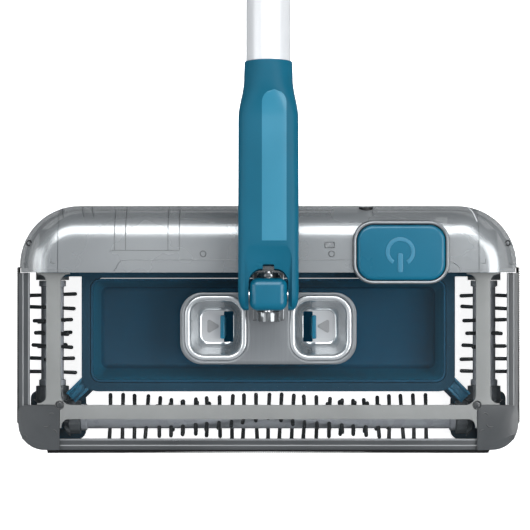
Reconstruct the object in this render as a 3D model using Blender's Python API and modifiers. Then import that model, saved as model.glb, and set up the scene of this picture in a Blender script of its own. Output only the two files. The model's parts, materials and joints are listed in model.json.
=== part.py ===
"""Cordless carpet sweeper: a rectangular head with four geared roller brushes round a dust tray, and a
swivelling handle that lies back over the head. Metres, +Z up, floor at z = 0, handle towards +Y."""

import math

import bmesh
import bpy
from mathutils import Vector

MM = 0.001
GAP = 0.3 * MM  # clearance kept between touching pieces

# Head: half width, half depth and corner radii of its outline, seen from above.
HEAD_X = 165.0 * MM
HEAD_Y = 80.7 * MM
REAR_CORNER = 39.6 * MM
FRONT_CORNER = 17.2 * MM
SKIRT_Z = 5.0 * MM
COVER_TOP = 44.0 * MM
WALL = 2.5 * MM
FLANGE = 7.3 * MM

# Rear housing, which rolls off towards the rear and the sides.
HOUSING_FRONT = 36.5 * MM
HOUSING_TOP = 62.0 * MM
ROLL_OFF = 22.0 * MM
ROLL_DROP = 28.0 * MM
CORNER_JOINT = 137.7 * MM
JACK_X, JACK_Z = 64.5 * MM, 44.0 * MM
LENS_X, LENS_Y = 40.0 * MM, 54.5 * MM

# Side ribs and front bar that stand on the cover.
RIB_X = (137.0 * MM, 146.5 * MM)
BAR_Y = (-60.3 * MM, -51.0 * MM)
RAISED_Z = (44.3 * MM, 47.0 * MM)
SCREW_R = 2.2 * MM

# Roller brushes.
ROLLER_X = 145.0 * MM
FRONT_ROLLER_Y = -60.8 * MM
REAR_ROLLER_Y = 58.0 * MM
ROLLER_Z = 17.0 * MM
TUBE_R = 7.6 * MM
BRISTLE_R = 16.8 * MM
SHAFT_R = 3.0 * MM
HUB_R = 11.1 * MM
SHAFT_STOP = 3.6 * MM  # distance of each shaft's tip from the corner where two roller axes meet
MITRE_R = 12.0 * MM
MITRE_TEETH = 10
MITRE_FACE = 3.5 * MM
LONG_FLANGE = 126.0 * MM
BRISTLES_X = 107.0 * MM
SIDE_BRISTLES = (-31.5 * MM, 22.6 * MM)

# Gear train from the motor to the rear roller.
GEAR_MODULE = 1.0 * MM
PINION_TEETH = 10
IDLER_TEETH = 15
DRIVE_TEETH = 23
GEAR_X = 115.0 * MM
GEAR_WIDTH = 4.0 * MM
MOTOR_Y = 60.0 * MM
MOTOR_Z = 48.0 * MM

# Chassis ring, dust tray and wheels.
RING_X = 124.5 * MM
RING_FRONT = -42.9 * MM
RING_REAR = 38.5 * MM
RIM = 5.8 * MM
RING_TOP = 30.0 * MM
DECK_Z = 35.3 * MM
DECK_TOP = 37.3 * MM
TRAY_FLOOR_X = 110.8 * MM
WHEEL_R = 6.5 * MM
WHEEL_X = 121.6 * MM
WHEEL_YS = (-31.0 * MM, 27.0 * MM)

# Grip plate with its two finger cups.
PLATE_X = 58.2 * MM
PLATE_Y = (-24.2 * MM, 23.3 * MM)
PLATE_Z = (44.3 * MM, 46.8 * MM)
CUP_X = (17.7 * MM, 51.6 * MM)
CUP_Y = (-18.2 * MM, 17.8 * MM)
CUP_FLOOR_X = (23.2 * MM, 44.5 * MM)
CUP_FLOOR_Y = (-10.0 * MM, 11.0 * MM)
CUP_FLOOR_Z = 30.0 * MM
CUP_WALL = 1.6 * MM

# Power button.
BUTTON_X = (57.9 * MM, 115.5 * MM)
BUTTON_Y = (31.5 * MM, 67.6 * MM)
BUTTON_R = 10.6 * MM
BUTTON_Z = (58.5 * MM, 66.5 * MM)
BUTTON_TRAVEL = 2.0 * MM
BEZEL = 2.6 * MM
BEZEL_Z = (54.1 * MM, 65.2 * MM)

# Handle joint and handle, measured along the handle from its pitch axis.
PIVOT_Y = 22.0 * MM
PIVOT_Z = 86.0 * MM
SWIVEL_Z = 73.0 * MM
PIN_R = 2.95 * MM
KNUCKLE_X = 12.1 * MM
KNUCKLE_Y = (11.2 * MM, 33.0 * MM)
FORK_X = 19.5 * MM
FORK_SLOT_X = 12.7 * MM
FORK_SLOT_END = 17.5 * MM
SCOOP_X = 14.2 * MM
SCOOP_END = 30.5 * MM
YOKE_END = 151.0 * MM
HANDLE_R = 14.35 * MM
SOCKET_START = 142.0 * MM
TUBE_JOINT = 490.0 * MM
GRIP = (860.0 * MM, 985.0 * MM)
LOOP_END = 1012.0 * MM
GRIP_R = 15.3 * MM
DROOP = math.asin((PIVOT_Z - GRIP_R - 0.6 * MM) / GRIP[1])  # the grip's end lies on the floor

# The origin is under the middle of the whole sweeper, so the head's centre sits in front of it.
REACH_BACK = PIVOT_Y + LOOP_END * math.cos(DROOP)
REACH_FRONT = -HEAD_Y - GAP - 2.3 * MM
HEAD_OFFSET = -(REACH_BACK + REACH_FRONT) / 2

TURN_TO = {"X": (0, math.pi / 2, 0), "Y": (-math.pi / 2, 0, 0), "Z": (0, 0, 0)}


# ---------------------------------------------------------------- scene and materials


def clear_scene():
    for obj in list(bpy.data.objects):
        bpy.data.objects.remove(obj, do_unlink=True)


def collection(name):
    made = bpy.data.collections.new(name)
    bpy.context.scene.collection.children.link(made)
    return made


def material(name, colour, roughness=0.4, metallic=0.0, alpha=1.0):
    made = bpy.data.materials.new(name)
    made.use_nodes = True
    shader = made.node_tree.nodes["Principled BSDF"]
    shader.inputs["Base Color"].default_value = (*colour, 1.0)
    shader.inputs["Roughness"].default_value = roughness
    shader.inputs["Metallic"].default_value = metallic
    shader.inputs["Alpha"].default_value = alpha
    made.diffuse_color = (*colour, alpha)
    return made


clear_scene()
PARTS = collection("carpet_sweeper")
CUTTERS = collection("cutters")

SMOKE = material("smoke_plastic", (0.16, 0.17, 0.18), 0.12, alpha=0.75)
GREY = material("grey_plastic", (0.34, 0.35, 0.35), 0.35)
DARK_GREY = material("dark_grey_plastic", (0.09, 0.10, 0.10), 0.35)
CLEAR = material("clear_plastic", (0.90, 0.91, 0.93), 0.05, alpha=0.2)
SILVER = material("silver_plastic", (0.55, 0.55, 0.55), 0.25, 0.6)
TEAL = material("teal_plastic", (0.025, 0.17, 0.25), 0.2)
DARK_TEAL = material("dark_teal_plastic", (0.02, 0.07, 0.11), 0.4)
BLACK = material("black_nylon", (0.012, 0.012, 0.012), 0.6)
RUBBER = material("black_rubber", (0.015, 0.015, 0.015), 0.8)
TUBE_GREY = material("roller_tube", (0.42, 0.43, 0.45), 0.3)
GEAR_NYLON = material("gear_nylon", (0.05, 0.05, 0.055), 0.45)
WHITE_METAL = material("handle_tube", (0.85, 0.85, 0.86), 0.25, 0.2)
STEEL = material("steel", (0.6, 0.6, 0.62), 0.3, 1.0)
BOARD = material("circuit_board", (0.02, 0.12, 0.05), 0.5)
WRAP = material("battery_wrap", (0.55, 0.40, 0.28), 0.4)
LENS = material("indicator_lens", (0.75, 0.76, 0.78), 0.15)


def empty(name, location, parent=None, turn=(0, 0, 0)):
    made = bpy.data.objects.new(name, None)
    PARTS.objects.link(made)
    made.parent = parent
    made.location = location
    made.rotation_euler = turn
    return made


HEAD = empty("head_frame", (0, HEAD_OFFSET, 0))
SWIVEL = empty("swivel_axis", (0, PIVOT_Y, SWIVEL_Z), HEAD)
HANDLE = empty("handle_axis", (0, 0, PIVOT_Z - SWIVEL_Z), SWIVEL, (-DROOP, 0, 0))


# ---------------------------------------------------------------- shape helpers


def part(name, mesh, look, parent=HEAD, at=(0, 0, 0), turn=(0, 0, 0)):
    """A node of the sweeper."""
    obj = bpy.data.objects.new(name, mesh)
    PARTS.objects.link(obj)
    obj.parent = parent
    obj.location = at
    obj.rotation_euler = turn
    mesh.materials.append(look)
    mesh.shade_smooth()
    mesh.set_sharp_from_angle(angle=math.radians(35))
    return obj


def tool(mesh, parent=HEAD, at=(0, 0, 0), turn=(0, 0, 0)):
    """A cutter, which isn't part of the sweeper."""
    obj = bpy.data.objects.new("cutter", mesh)
    CUTTERS.objects.link(obj)
    obj.parent = parent
    obj.location = at
    obj.rotation_euler = turn
    obj.hide_render = True
    obj.display_type = "WIRE"
    return obj


def combine(obj, operation, *others, solver="EXACT"):
    for other in others:
        step = obj.modifiers.new(operation.lower(), "BOOLEAN")
        step.operation = operation
        step.object = other
        step.solver = solver


def cut(obj, *cutters, solver="EXACT"):
    combine(obj, "DIFFERENCE", *cutters, solver=solver)


def join(obj, *pieces):
    combine(obj, "UNION", *pieces)


def bevel(obj, width, segments=2):
    edge = obj.modifiers.new("bevel", "BEVEL")
    edge.width = width
    edge.segments = segments
    edge.limit_method = "ANGLE"
    edge.angle_limit = math.radians(50)


def mesh_from(bm, name="shape"):
    mesh = bpy.data.meshes.new(name)
    bmesh.ops.recalc_face_normals(bm, faces=bm.faces[:])
    bm.to_mesh(mesh)
    bm.free()
    return mesh


def block(low, high):
    """A box between two corners."""
    bm = bmesh.new()
    bmesh.ops.create_cube(bm, size=1.0)
    middle = [(a + b) / 2 for a, b in zip(low, high)]
    size = [b - a for a, b in zip(low, high)]
    bmesh.ops.scale(bm, vec=size, verts=bm.verts)
    bmesh.ops.translate(bm, vec=middle, verts=bm.verts)
    return mesh_from(bm)


def rod(radius, start, end, segments=20):
    """A cylinder along local Z from start to end."""
    bm = bmesh.new()
    bmesh.ops.create_cone(
        bm, cap_ends=True, segments=segments, radius1=radius, radius2=radius, depth=end - start
    )
    bmesh.ops.translate(bm, vec=(0, 0, (start + end) / 2), verts=bm.verts)
    return mesh_from(bm)


def rounded(corners, segments=5):
    """An outline through (x, y, radius) corners, with an arc at each corner that has a radius."""
    points = []
    for i, (x, y, radius) in enumerate(corners):
        here = Vector((x, y))
        if radius <= 0:
            points.append(here)
            continue
        before = (Vector(corners[i - 1][:2]) - here).normalized()
        after = (Vector(corners[(i + 1) % len(corners)][:2]) - here).normalized()
        half = before.angle(after) / 2
        centre = here + (before + after).normalized() * (radius / math.sin(half))
        first = (here + before * (radius / math.tan(half)) - centre).normalized()
        last = (here + after * (radius / math.tan(half)) - centre).normalized()
        for k in range(segments + 1):
            points.append(centre + first.slerp(last, k / segments) * radius)
    return points


def rectangle(x0, x1, y0, y1, radius=0.0, segments=5):
    return rounded([(x0, y0, radius), (x1, y0, radius), (x1, y1, radius), (x0, y1, radius)], segments)


def circle(x, y, radius, segments=20):
    turns = [2 * math.pi * k / segments for k in range(segments)]
    return [Vector((x + radius * math.cos(a), y + radius * math.sin(a))) for a in turns]


def slab(outlines, low, high):
    """A flat plate between two heights: the first outline is its edge, and the others are holes in it."""
    curve = bpy.data.curves.new("outline", "CURVE")
    curve.dimensions = "2D"
    curve.fill_mode = "BOTH"
    curve.extrude = (high - low) / 2
    for outline in outlines:
        spline = curve.splines.new("POLY")
        spline.points.add(len(outline) - 1)
        for point, place in zip(spline.points, outline):
            point.co = (place.x, place.y, 0, 1)
        spline.use_cyclic_u = True
    obj = bpy.data.objects.new("outline", curve)
    CUTTERS.objects.link(obj)
    bpy.context.view_layer.update()
    mesh = bpy.data.meshes.new_from_object(obj.evaluated_get(bpy.context.evaluated_depsgraph_get()))
    bpy.data.objects.remove(obj)
    bm = bmesh.new()
    bm.from_mesh(mesh)
    bpy.data.meshes.remove(mesh)
    bmesh.ops.remove_doubles(bm, verts=bm.verts, dist=1e-6)
    bmesh.ops.translate(bm, vec=(0, 0, (low + high) / 2), verts=bm.verts)
    return mesh_from(bm)


def loft(rings):
    """A closed solid through rings of the same number of points, capped at both ends."""
    bm = bmesh.new()
    loops = [[bm.verts.new(point) for point in ring] for ring in rings]
    count = len(loops[0])
    for lower, upper in zip(loops, loops[1:]):
        for k in range(count):
            bm.faces.new((lower[k], lower[(k + 1) % count], upper[(k + 1) % count], upper[k]))
    bm.faces.new(loops[0])
    bm.faces.new(list(reversed(loops[-1])))
    bmesh.ops.triangulate(bm, faces=[face for face in bm.faces if len(face.verts) > 4])
    return mesh_from(bm)


def at_height(outline, z):
    return [Vector((point.x, point.y, z)) for point in outline]


def turned(name, look, axis, at, profile, parent=HEAD, steps=16):
    """A turned piece: its (radius, height) profile runs down the outer side, from the top."""
    bm = bmesh.new()
    points = [bm.verts.new((radius, 0, height)) for radius, height in profile]
    for first, second in zip(points, points[1:]):
        bm.edges.new((first, second))
    if profile[0][0] > 0:
        bm.edges.new((points[-1], points[0]))
    mesh = bpy.data.meshes.new(name)
    bm.to_mesh(mesh)
    bm.free()
    obj = part(name, mesh, look, parent, at, TURN_TO[axis])
    spin = obj.modifiers.new("spin", "SCREW")
    spin.steps = steps
    spin.render_steps = steps
    spin.use_merge_vertices = True
    spin.merge_threshold = 1e-5
    spin.use_smooth_shade = True
    return obj


# ---------------------------------------------------------------- casing


def head_outline(inset):
    x, y = HEAD_X - inset, HEAD_Y - inset
    return rounded(
        [
            (-x, -y, FRONT_CORNER - inset),
            (x, -y, FRONT_CORNER - inset),
            (x, y, REAR_CORNER - inset),
            (-x, y, REAR_CORNER - inset),
        ],
        8,
    )


def housing_outline(inset, front):
    x = HEAD_X - inset
    return rounded([(-x, front, 0), (x, front, 0), (x, HEAD_Y - inset, REAR_CORNER - inset),
                    (-x, HEAD_Y - inset, REAR_CORNER - inset)], 8)


def housing_shell():
    """Open-bottomed shell of the rear housing: outer surface down from the top, then the inner one up."""
    angles = [math.radians(a) for a in (90, 68, 48, 30, 14, 0)]
    outer = [(ROLL_OFF * (1 - math.cos(a)), HOUSING_TOP - ROLL_DROP * (1 - math.sin(a))) for a in angles]
    outer.append((0.0, SKIRT_Z))
    rings = [at_height(housing_outline(inset, HOUSING_FRONT), z) for inset, z in outer]
    for inset, z in reversed(outer):
        inner_z = z if z == SKIRT_Z else z - WALL
        rings.append(at_height(housing_outline(inset + WALL, HOUSING_FRONT + WALL), inner_z))
    return loft(rings)


def button_outline(grow):
    x0, x1 = BUTTON_X
    y0, y1 = BUTTON_Y
    return rectangle(x0 - grow, x1 + grow, y0 - grow, y1 + grow, BUTTON_R + grow)


def make_housing():
    shell = housing_shell()
    front_opening = tool(block((-0.2, 0.0, 0.0), (0.2, HOUSING_FRONT + WALL + GAP, COVER_TOP + GAP)))
    middle = CORNER_JOINT - GAP / 2
    half_x, half_y = 3.4 * MM, 2.1 * MM
    lens_hole = rectangle(LENS_X - half_x, LENS_X + half_x, LENS_Y - half_y, LENS_Y + half_y)
    body = part("rear_housing", shell, SMOKE)
    combine(body, "INTERSECT", tool(block((-middle, 0, 0), (middle, 0.1, 0.1))))
    cut(
        body,
        front_opening,
        tool(slab([button_outline(BEZEL + GAP)], 0.03, 0.09)),
        tool(rod(5.0 * MM, 0.06, 0.09), at=(JACK_X, 0, JACK_Z), turn=TURN_TO["Y"]),
        tool(slab([lens_hole], 0.05, 0.07)),
    )
    for side, name in ((-1, "rear_corner_left"), (1, "rear_corner_right")):
        corner = part(name, shell.copy(), SMOKE)
        inner, outer = sorted((side * (CORNER_JOINT + GAP / 2), side * 0.2))
        combine(corner, "INTERSECT", tool(block((inner, 0, 0), (outer, 0.1, 0.1))))
        cut(corner, front_opening)


def make_frame():
    """Outer skirt with its inward flange, open at the rear, where the housing begins."""
    frame = part("outer_frame", slab([head_outline(0)], SKIRT_Z, COVER_TOP), DARK_GREY)
    cut(
        frame,
        tool(slab([head_outline(WALL)], 0, COVER_TOP - WALL)),
        tool(slab([head_outline(FLANGE)], 0, COVER_TOP + WALL)),
        tool(block((-0.2, HOUSING_FRONT - GAP, 0), (0.2, 0.1, 0.1))),
    )


def make_cover():
    x = HEAD_X - FLANGE - GAP
    front = -HEAD_Y + FLANGE + GAP
    radius = FRONT_CORNER - FLANGE
    rear = HOUSING_FRONT - GAP
    edge = rounded([(-x, front, radius), (x, front, radius), (x, rear, 0), (-x, rear, 0)])
    grow = CUP_WALL + GAP
    holes = []
    for side in (-1, 1):
        x0, x1 = sorted((side * (CUP_X[0] - grow), side * (CUP_X[1] + grow)))
        holes.append(rectangle(x0, x1, CUP_Y[0] - grow, CUP_Y[1] + grow, 9.2 * MM + grow))
    part("clear_cover", slab([edge, *holes], COVER_TOP - 2 * MM, COVER_TOP), CLEAR)


def make_top_frame():
    """The two side ribs and the front bar, with flared ends, on top of the clear cover."""
    rear = HOUSING_FRONT - GAP
    joint = CORNER_JOINT - GAP / 2
    step = BAR_Y[1] + GAP
    flare = 6.0 * MM
    lip = 0.9 * MM
    right = [
        (joint - lip, BAR_Y[0], 5.0 * MM),
        (joint - lip, BAR_Y[0] - flare, 0),
        (joint, BAR_Y[0] - flare, 0),
        (joint, step, 5.0 * MM),
        (RIB_X[1] + flare, step, 0),
        (RIB_X[1] + flare, step + lip, 0),
        (RIB_X[1], step + lip, 5.0 * MM),
        (RIB_X[1], rear - lip, 5.0 * MM),
        (RIB_X[1] + flare, rear - lip, 0),
        (RIB_X[1] + flare, rear, 0),
        (RIB_X[0] - flare, rear, 0),
        (RIB_X[0] - flare, rear - lip, 0),
        (RIB_X[0], rear - lip, 5.0 * MM),
        (RIB_X[0], BAR_Y[1], 7.0 * MM),
    ]
    left = [(-x, y, radius) for x, y, radius in reversed(right)]
    frame = part("top_frame", slab([rounded(right + left, 4)], *RAISED_Z), GREY)
    for side, name in ((-1, "left"), (1, "right")):
        x0, x1 = sorted((side * (CORNER_JOINT + GAP / 2), side * HEAD_X))
        radii = {x0: FRONT_CORNER if side < 0 else 0, x1: FRONT_CORNER if side > 0 else 0}
        inner = {x0: 0 if side < 0 else 5.0 * MM, x1: 0 if side > 0 else 5.0 * MM}
        edge = [(x0, -HEAD_Y, radii[x0]), (x1, -HEAD_Y, radii[x1])]
        edge += [(x1, BAR_Y[1], inner[x1]), (x0, BAR_Y[1], inner[x0])]
        cap = part("front_corner_" + name, slab([rounded(edge)], *RAISED_Z), DARK_GREY)
        place = (side * CORNER_JOINT, BAR_Y[1], 0)
        recess = tool(rod(SCREW_R + GAP, RAISED_Z[1] - 1.2 * MM, 0.06, 14), at=place)
        cut(frame, recess, solver="MANIFOLD")
        cut(cap, recess)


def make_frame_screws():
    for side, name in ((-1, "frame_screw_left"), (1, "frame_screw_right")):
        head = rod(SCREW_R, RAISED_Z[1] - 0.9 * MM, RAISED_Z[1] - 0.1 * MM, 14)
        part(name, head, DARK_GREY, at=(side * CORNER_JOINT, BAR_Y[1], 0))


def make_bumpers():
    z0, z1 = 29.0 * MM, 41.0 * MM
    for side, name in ((-1, "bumper_left"), (1, "bumper_right")):
        x0, x1 = sorted((side * (HEAD_X + GAP), side * (HEAD_X + 1.7 * MM)))
        bevel(part(name, block((x0, -63.5 * MM, z0), (x1, 40.0 * MM, z1)), RUBBER), 0.5 * MM, 1)
    front = block((-146.5 * MM, -HEAD_Y - GAP - 2.3 * MM, z0), (146.5 * MM, -HEAD_Y - GAP, z1))
    bevel(part("bumper_front", front, RUBBER), 0.6 * MM, 1)


def cup_rings(side, grow, drop):
    """Rings of a finger cup, from its rim down to its floor, grown outwards by grow and lowered by drop."""
    rings = []
    for share, depth in ((0.0, 0.0), (0.12, 0.35), (0.45, 0.8), (1.0, 1.0)):
        xs = [a + (b - a) * share + grow * s for a, b, s in zip(CUP_X, CUP_FLOOR_X, (-1, 1))]
        ys = [a + (b - a) * share + grow * s for a, b, s in zip(CUP_Y, CUP_FLOOR_Y, (-1, 1))]
        x0, x1 = sorted(side * x for x in xs)
        radius = 9.2 * MM - 4.0 * MM * share + grow
        z = PLATE_Z[1] + (CUP_FLOOR_Z - PLATE_Z[1]) * depth - drop
        rings.append(at_height(rectangle(x0, x1, ys[0], ys[1], radius, 3), z))
    return rings


def make_plate():
    plate = part("grip_plate", slab([rectangle(-PLATE_X, PLATE_X, *PLATE_Y, 14.5 * MM)], *PLATE_Z), SILVER)
    for side in (-1, 1):
        join(plate, tool(loft(cup_rings(side, CUP_WALL, CUP_WALL))))
    for side in (-1, 1):
        hollow = cup_rings(side, 0.0, 0.0)
        above = [point + Vector((0, 0, 5 * MM)) for point in hollow[0]]
        x0, x1 = sorted((side * 23.2 * MM, side * 32.4 * MM))
        cut(plate, tool(loft([above, *hollow])))
        cut(plate, tool(block((x0, -10.0 * MM, 0.02), (x1, 11.0 * MM, 0.036))))


def make_tabs():
    """Blades that stand in the cups' slots and slide towards each other when they are pinched."""
    for side, name in ((-1, "release_tab_left"), (1, "release_tab_right")):
        x0, x1 = sorted((side * 28.8 * MM, side * 31.9 * MM))
        f0, f1 = sorted((side * 28.0 * MM, side * 35.5 * MM))
        blade = part(name, block((x0, -7.6 * MM, 22.0 * MM), (x1, 8.0 * MM, 37.0 * MM)), TEAL)
        bevel(blade, 0.6 * MM, 1)
        join(blade, tool(block((f0, -6.0 * MM, 20.0 * MM), (f1, 6.4 * MM, 23.0 * MM))))


# ---------------------------------------------------------------- chassis and tray


def make_chassis():
    """Ring round the tray, deck for the motor, four corner plates with bearing blocks, and corner struts."""
    ring = rounded([(-RING_X, RING_FRONT, 10.6 * MM), (RING_X, RING_FRONT, 10.6 * MM),
                    (RING_X, RING_REAR, 4 * MM), (-RING_X, RING_REAR, 4 * MM)])
    well = rectangle(-RING_X + RIM, RING_X - RIM, RING_FRONT + RIM, RING_REAR - RIM, 7.0 * MM)
    chassis = part("chassis", slab([ring, well], 2.5 * MM, RING_TOP), DARK_TEAL)
    wall = block(
        (-0.118, RING_REAR - RIM + 0.4 * MM, RING_TOP - 2 * MM),
        (0.118, RING_REAR - 0.4 * MM, DECK_TOP - 1 * MM),
    )
    deck_x, deck_y = 152.0 * MM, (RING_REAR - RIM + 1 * MM, 76.2 * MM)
    deck = [(-deck_x, deck_y[0], 4 * MM), (deck_x, deck_y[0], 4 * MM), (deck_x, deck_y[1], 30 * MM),
            (-deck_x, deck_y[1], 30 * MM)]
    join(
        chassis,
        tool(wall),
        tool(slab([rounded(deck)], DECK_Z, DECK_TOP)),
    )
    plate_z = (1.4 * MM, 3.4 * MM)
    for side in (-1, 1):
        for front, axis_y in ((True, FRONT_ROLLER_Y), (False, REAR_ROLLER_Y)):
            inward = 1 if front else -1
            reach_x, reach_y, round_off = (161.0 * MM, 16.0 * MM, 12.0 * MM) if front else (
                157.0 * MM, 14.5 * MM, 26.0 * MM)
            far = axis_y - inward * reach_y
            near = axis_y + inward * 17.0 * MM
            foot = [(side * 123.5 * MM, far, 6 * MM), (side * reach_x, far, round_off),
                    (side * reach_x, near, 5 * MM), (side * 123.5 * MM, near, 6 * MM)]
            if inward * side < 0:
                foot.reverse()
            b0, b1 = sorted((side * 138.0 * MM, side * 152.0 * MM))
            top = 26.0 * MM if front else DECK_Z + 1 * MM
            strut = tool(
                block((-9.5 * MM, -4.6 * MM, plate_z[0] + 0.2 * MM), (9.5 * MM, 4.6 * MM, 8 * MM)),
                at=(side * RING_X, RING_FRONT if front else RING_REAR, 0),
                turn=(0, 0, math.radians(-45 * inward * side)),
            )
            join(
                chassis,
                tool(slab([rounded(foot)], *plate_z)),
                tool(block((b0, axis_y - 7 * MM, plate_z[1] - 1 * MM), (b1, axis_y + 7 * MM, top))),
                strut,
            )
            tip = 141.6 * MM
            stop = axis_y + inward * (SHAFT_STOP - 0.4 * MM)
            cut(
                chassis,
                tool(
                    rod(SHAFT_R + GAP, 0.130, tip, 14),
                    at=(0, axis_y, ROLLER_Z),
                    turn=(0, side * math.pi / 2, 0),
                ),
                tool(rod(SHAFT_R + GAP, 0, 12 * MM, 14), at=(side * ROLLER_X, stop, ROLLER_Z),
                     turn=(-inward * math.pi / 2, 0, 0)),
            )
        for y in WHEEL_YS:
            x = side * WHEEL_X
            low = (x - 1.9 * MM, y - WHEEL_R - 0.8 * MM, 0)
            high = (x + 1.9 * MM, y + WHEEL_R + 0.8 * MM, 2 * WHEEL_R + 1 * MM)
            axle = tool(rod(1.5 * MM, -4 * MM, 4 * MM, 10), at=(x, y, WHEEL_R), turn=TURN_TO["X"])
            cut(chassis, tool(block(low, high)), axle)
    slot = (GEAR_X - 4 * MM, 43 * MM, 0.03), (GEAR_X + 4 * MM, 73 * MM, 0.05)
    cut(chassis, tool(block(*slot)))


def make_wheels():
    for side, across in ((-1, "left"), (1, "right")):
        for y, along in zip(WHEEL_YS, ("front", "rear")):
            half = 1.6 * MM
            profile = [(0, 2.8 * MM), (1.2 * MM, 2.8 * MM), (1.2 * MM, half),
                       (WHEEL_R - 0.4 * MM, half), (WHEEL_R, 0),
                       (WHEEL_R - 0.4 * MM, -half), (1.2 * MM, -half), (1.2 * MM, -2.8 * MM), (0, -2.8 * MM)]
            turned(f"wheel_{along}_{across}", RUBBER, "X", (side * WHEEL_X, y, WHEEL_R), profile)


def make_tray():
    """The dust tray: sloping walls up to a rim that fits inside the chassis ring."""
    x = RING_X - RIM - GAP
    y0 = RING_FRONT + RIM + GAP
    y1 = RING_REAR - RIM - GAP
    foot = 6.0 * MM
    rings = [
        at_height(rectangle(-x + foot, x - foot, y0 + 9 * MM, y1 - foot, 5 * MM), 3.0 * MM),
        at_height(rectangle(-x, x, y0, y1, 6.7 * MM), 26.0 * MM),
        at_height(rectangle(-x, x, y0, y1, 6.7 * MM), RING_TOP),
        at_height(rectangle(-x + 1.6 * MM, x - 1.6 * MM, y0 + 1.6 * MM, y1 - 1.6 * MM, 5.5 * MM), RING_TOP),
        at_height(rectangle(-TRAY_FLOOR_X, TRAY_FLOOR_X, -25.2 * MM, y1 - foot - 1.6 * MM, 4 * MM), 4.8 * MM),
    ]
    part("dust_tray", loft(rings), DARK_TEAL)


# ---------------------------------------------------------------- rollers and gears


def roller_profile(low, high, low_flange, high_flange):
    """A shaft from low to high, with a flanged tube between low_flange and high_flange."""
    flange = 4.0 * MM
    return [
        (0, high),
        (SHAFT_R, high),
        (SHAFT_R, high_flange),
        (TUBE_R + 1.4 * MM, high_flange),
        (TUBE_R + 1.4 * MM, high_flange - flange),
        (TUBE_R, high_flange - flange),
        (TUBE_R, low_flange + flange),
        (TUBE_R + 1.4 * MM, low_flange + flange),
        (TUBE_R + 1.4 * MM, low_flange),
        (SHAFT_R, low_flange),
        (SHAFT_R, low),
        (0, low),
    ]


def bristles(name, axis, at, low, high):
    bore = TUBE_R + GAP
    turned(name, BLACK, axis, at, [(BRISTLE_R, high), (BRISTLE_R, low), (bore, low), (bore, high)], steps=20)


def tooth_ring(teeth, pitch_r, addendum, dedendum, phase, width=0.34):
    """Outline of a toothed wheel: tapered teeth whose pitch-line width is a share of the pitch."""
    pitch = 2 * math.pi / teeth
    points = []
    for k in range(teeth):
        middle = phase + k * pitch
        for radius, share in ((-dedendum, -0.75), (addendum, -0.32), (addendum, 0.32), (-dedendum, 0.75)):
            angle = middle + share * 2 * width * pitch / 2
            points.append((pitch_r + radius) * Vector((math.cos(angle), math.sin(angle))))
    return points


def mitre_gear(name, at, turn, hub_length, phase):
    """Bevel gear along local Z with its apex at the local origin, and a plain hub behind its large end."""
    small = 1 - MITRE_FACE / MITRE_R
    large_end = tooth_ring(MITRE_TEETH, MITRE_R, 0.9 * MM, 2.2 * MM, phase, 0.29)
    small_end = [p * small for p in large_end]
    rings = [at_height(small_end, MITRE_R * small), at_height(large_end, MITRE_R)]
    gear = part(name, loft(rings), GEAR_NYLON, at=at, turn=turn)
    join(gear, tool(rod(HUB_R, MITRE_R - 0.05 * MM, MITRE_R + hub_length, 16), at=at, turn=turn))
    cut(gear, tool(rod(SHAFT_R + GAP, 0, MITRE_R + hub_length + 1 * MM, 12), at=at, turn=turn))


def make_rollers():
    tip = ROLLER_X - SHAFT_STOP
    centre_y = (FRONT_ROLLER_Y + REAR_ROLLER_Y) / 2
    half_y = (REAR_ROLLER_Y - FRONT_ROLLER_Y) / 2
    for name, y in (("front", FRONT_ROLLER_Y), ("rear", REAR_ROLLER_Y)):
        at = (0, y, ROLLER_Z)
        long_flange = LONG_FLANGE - GAP
        turned(f"{name}_roller", TUBE_GREY, "X", at, roller_profile(-tip, tip, -long_flange, long_flange))
        bristles(f"{name}_bristles", "X", at, -BRISTLES_X, BRISTLES_X)
    for side, name in ((-1, "left"), (1, "right")):
        at = (side * ROLLER_X, centre_y, ROLLER_Z)
        reach = half_y - SHAFT_STOP
        front_end = -39.5 * MM - centre_y
        rear_end = 31.0 * MM - centre_y
        turned(f"{name}_roller", TUBE_GREY, "Y", at, roller_profile(-reach, reach, front_end, rear_end))
        bristles(f"{name}_bristles", "Y", at, SIDE_BRISTLES[0] - centre_y, SIDE_BRISTLES[1] - centre_y)
    half_pitch = math.pi / MITRE_TEETH
    for side, across in ((-1, "left"), (1, "right")):
        for y, along, inward in ((FRONT_ROLLER_Y, "front", 1), (REAR_ROLLER_Y, "rear", -1)):
            apex = (side * ROLLER_X, y, ROLLER_Z)
            # Local Z points from the apex towards the middle of the roller. Teeth of the long roller's gear face
            # the gaps of the side roller's gear.
            long_turn = (0, -side * math.pi / 2, 0)
            long_hub = ROLLER_X - MITRE_R - LONG_FLANGE
            mitre_gear(f"{along}_gear_{across}", apex, long_turn, long_hub, math.pi / 2)
            side_turn = (-inward * math.pi / 2, 0, 0)
            side_hub = (-39.8 * MM - y if along == "front" else y - 31.3 * MM) - MITRE_R
            mitre_gear(f"{across}_gear_{along}", apex, side_turn, side_hub, half_pitch)


def spur(name, teeth, at, bore, phase):
    gear = tooth_ring(teeth, teeth * GEAR_MODULE / 2, 0.85 * MM, 1.15 * MM, phase)
    outlines = [gear, circle(0, 0, bore, 14)] if bore else [gear]
    return part(name, slab(outlines, -GEAR_WIDTH / 2, GEAR_WIDTH / 2), GEAR_NYLON, at=at, turn=TURN_TO["X"])


def bearing(start, end):
    return math.atan2((end - start).y, (end - start).x)


def mesh_phase(teeth, towards, other_teeth, other_phase):
    """Phase that puts a gap of this gear where the other gear's tooth points at it."""
    pitch = 2 * math.pi / teeth
    other_pitch = 2 * math.pi / other_teeth
    facing = towards + math.pi
    lead = (facing - other_phase) / other_pitch
    offset = (lead - round(lead)) * other_pitch * other_teeth / teeth
    return towards + offset + pitch / 2


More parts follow.
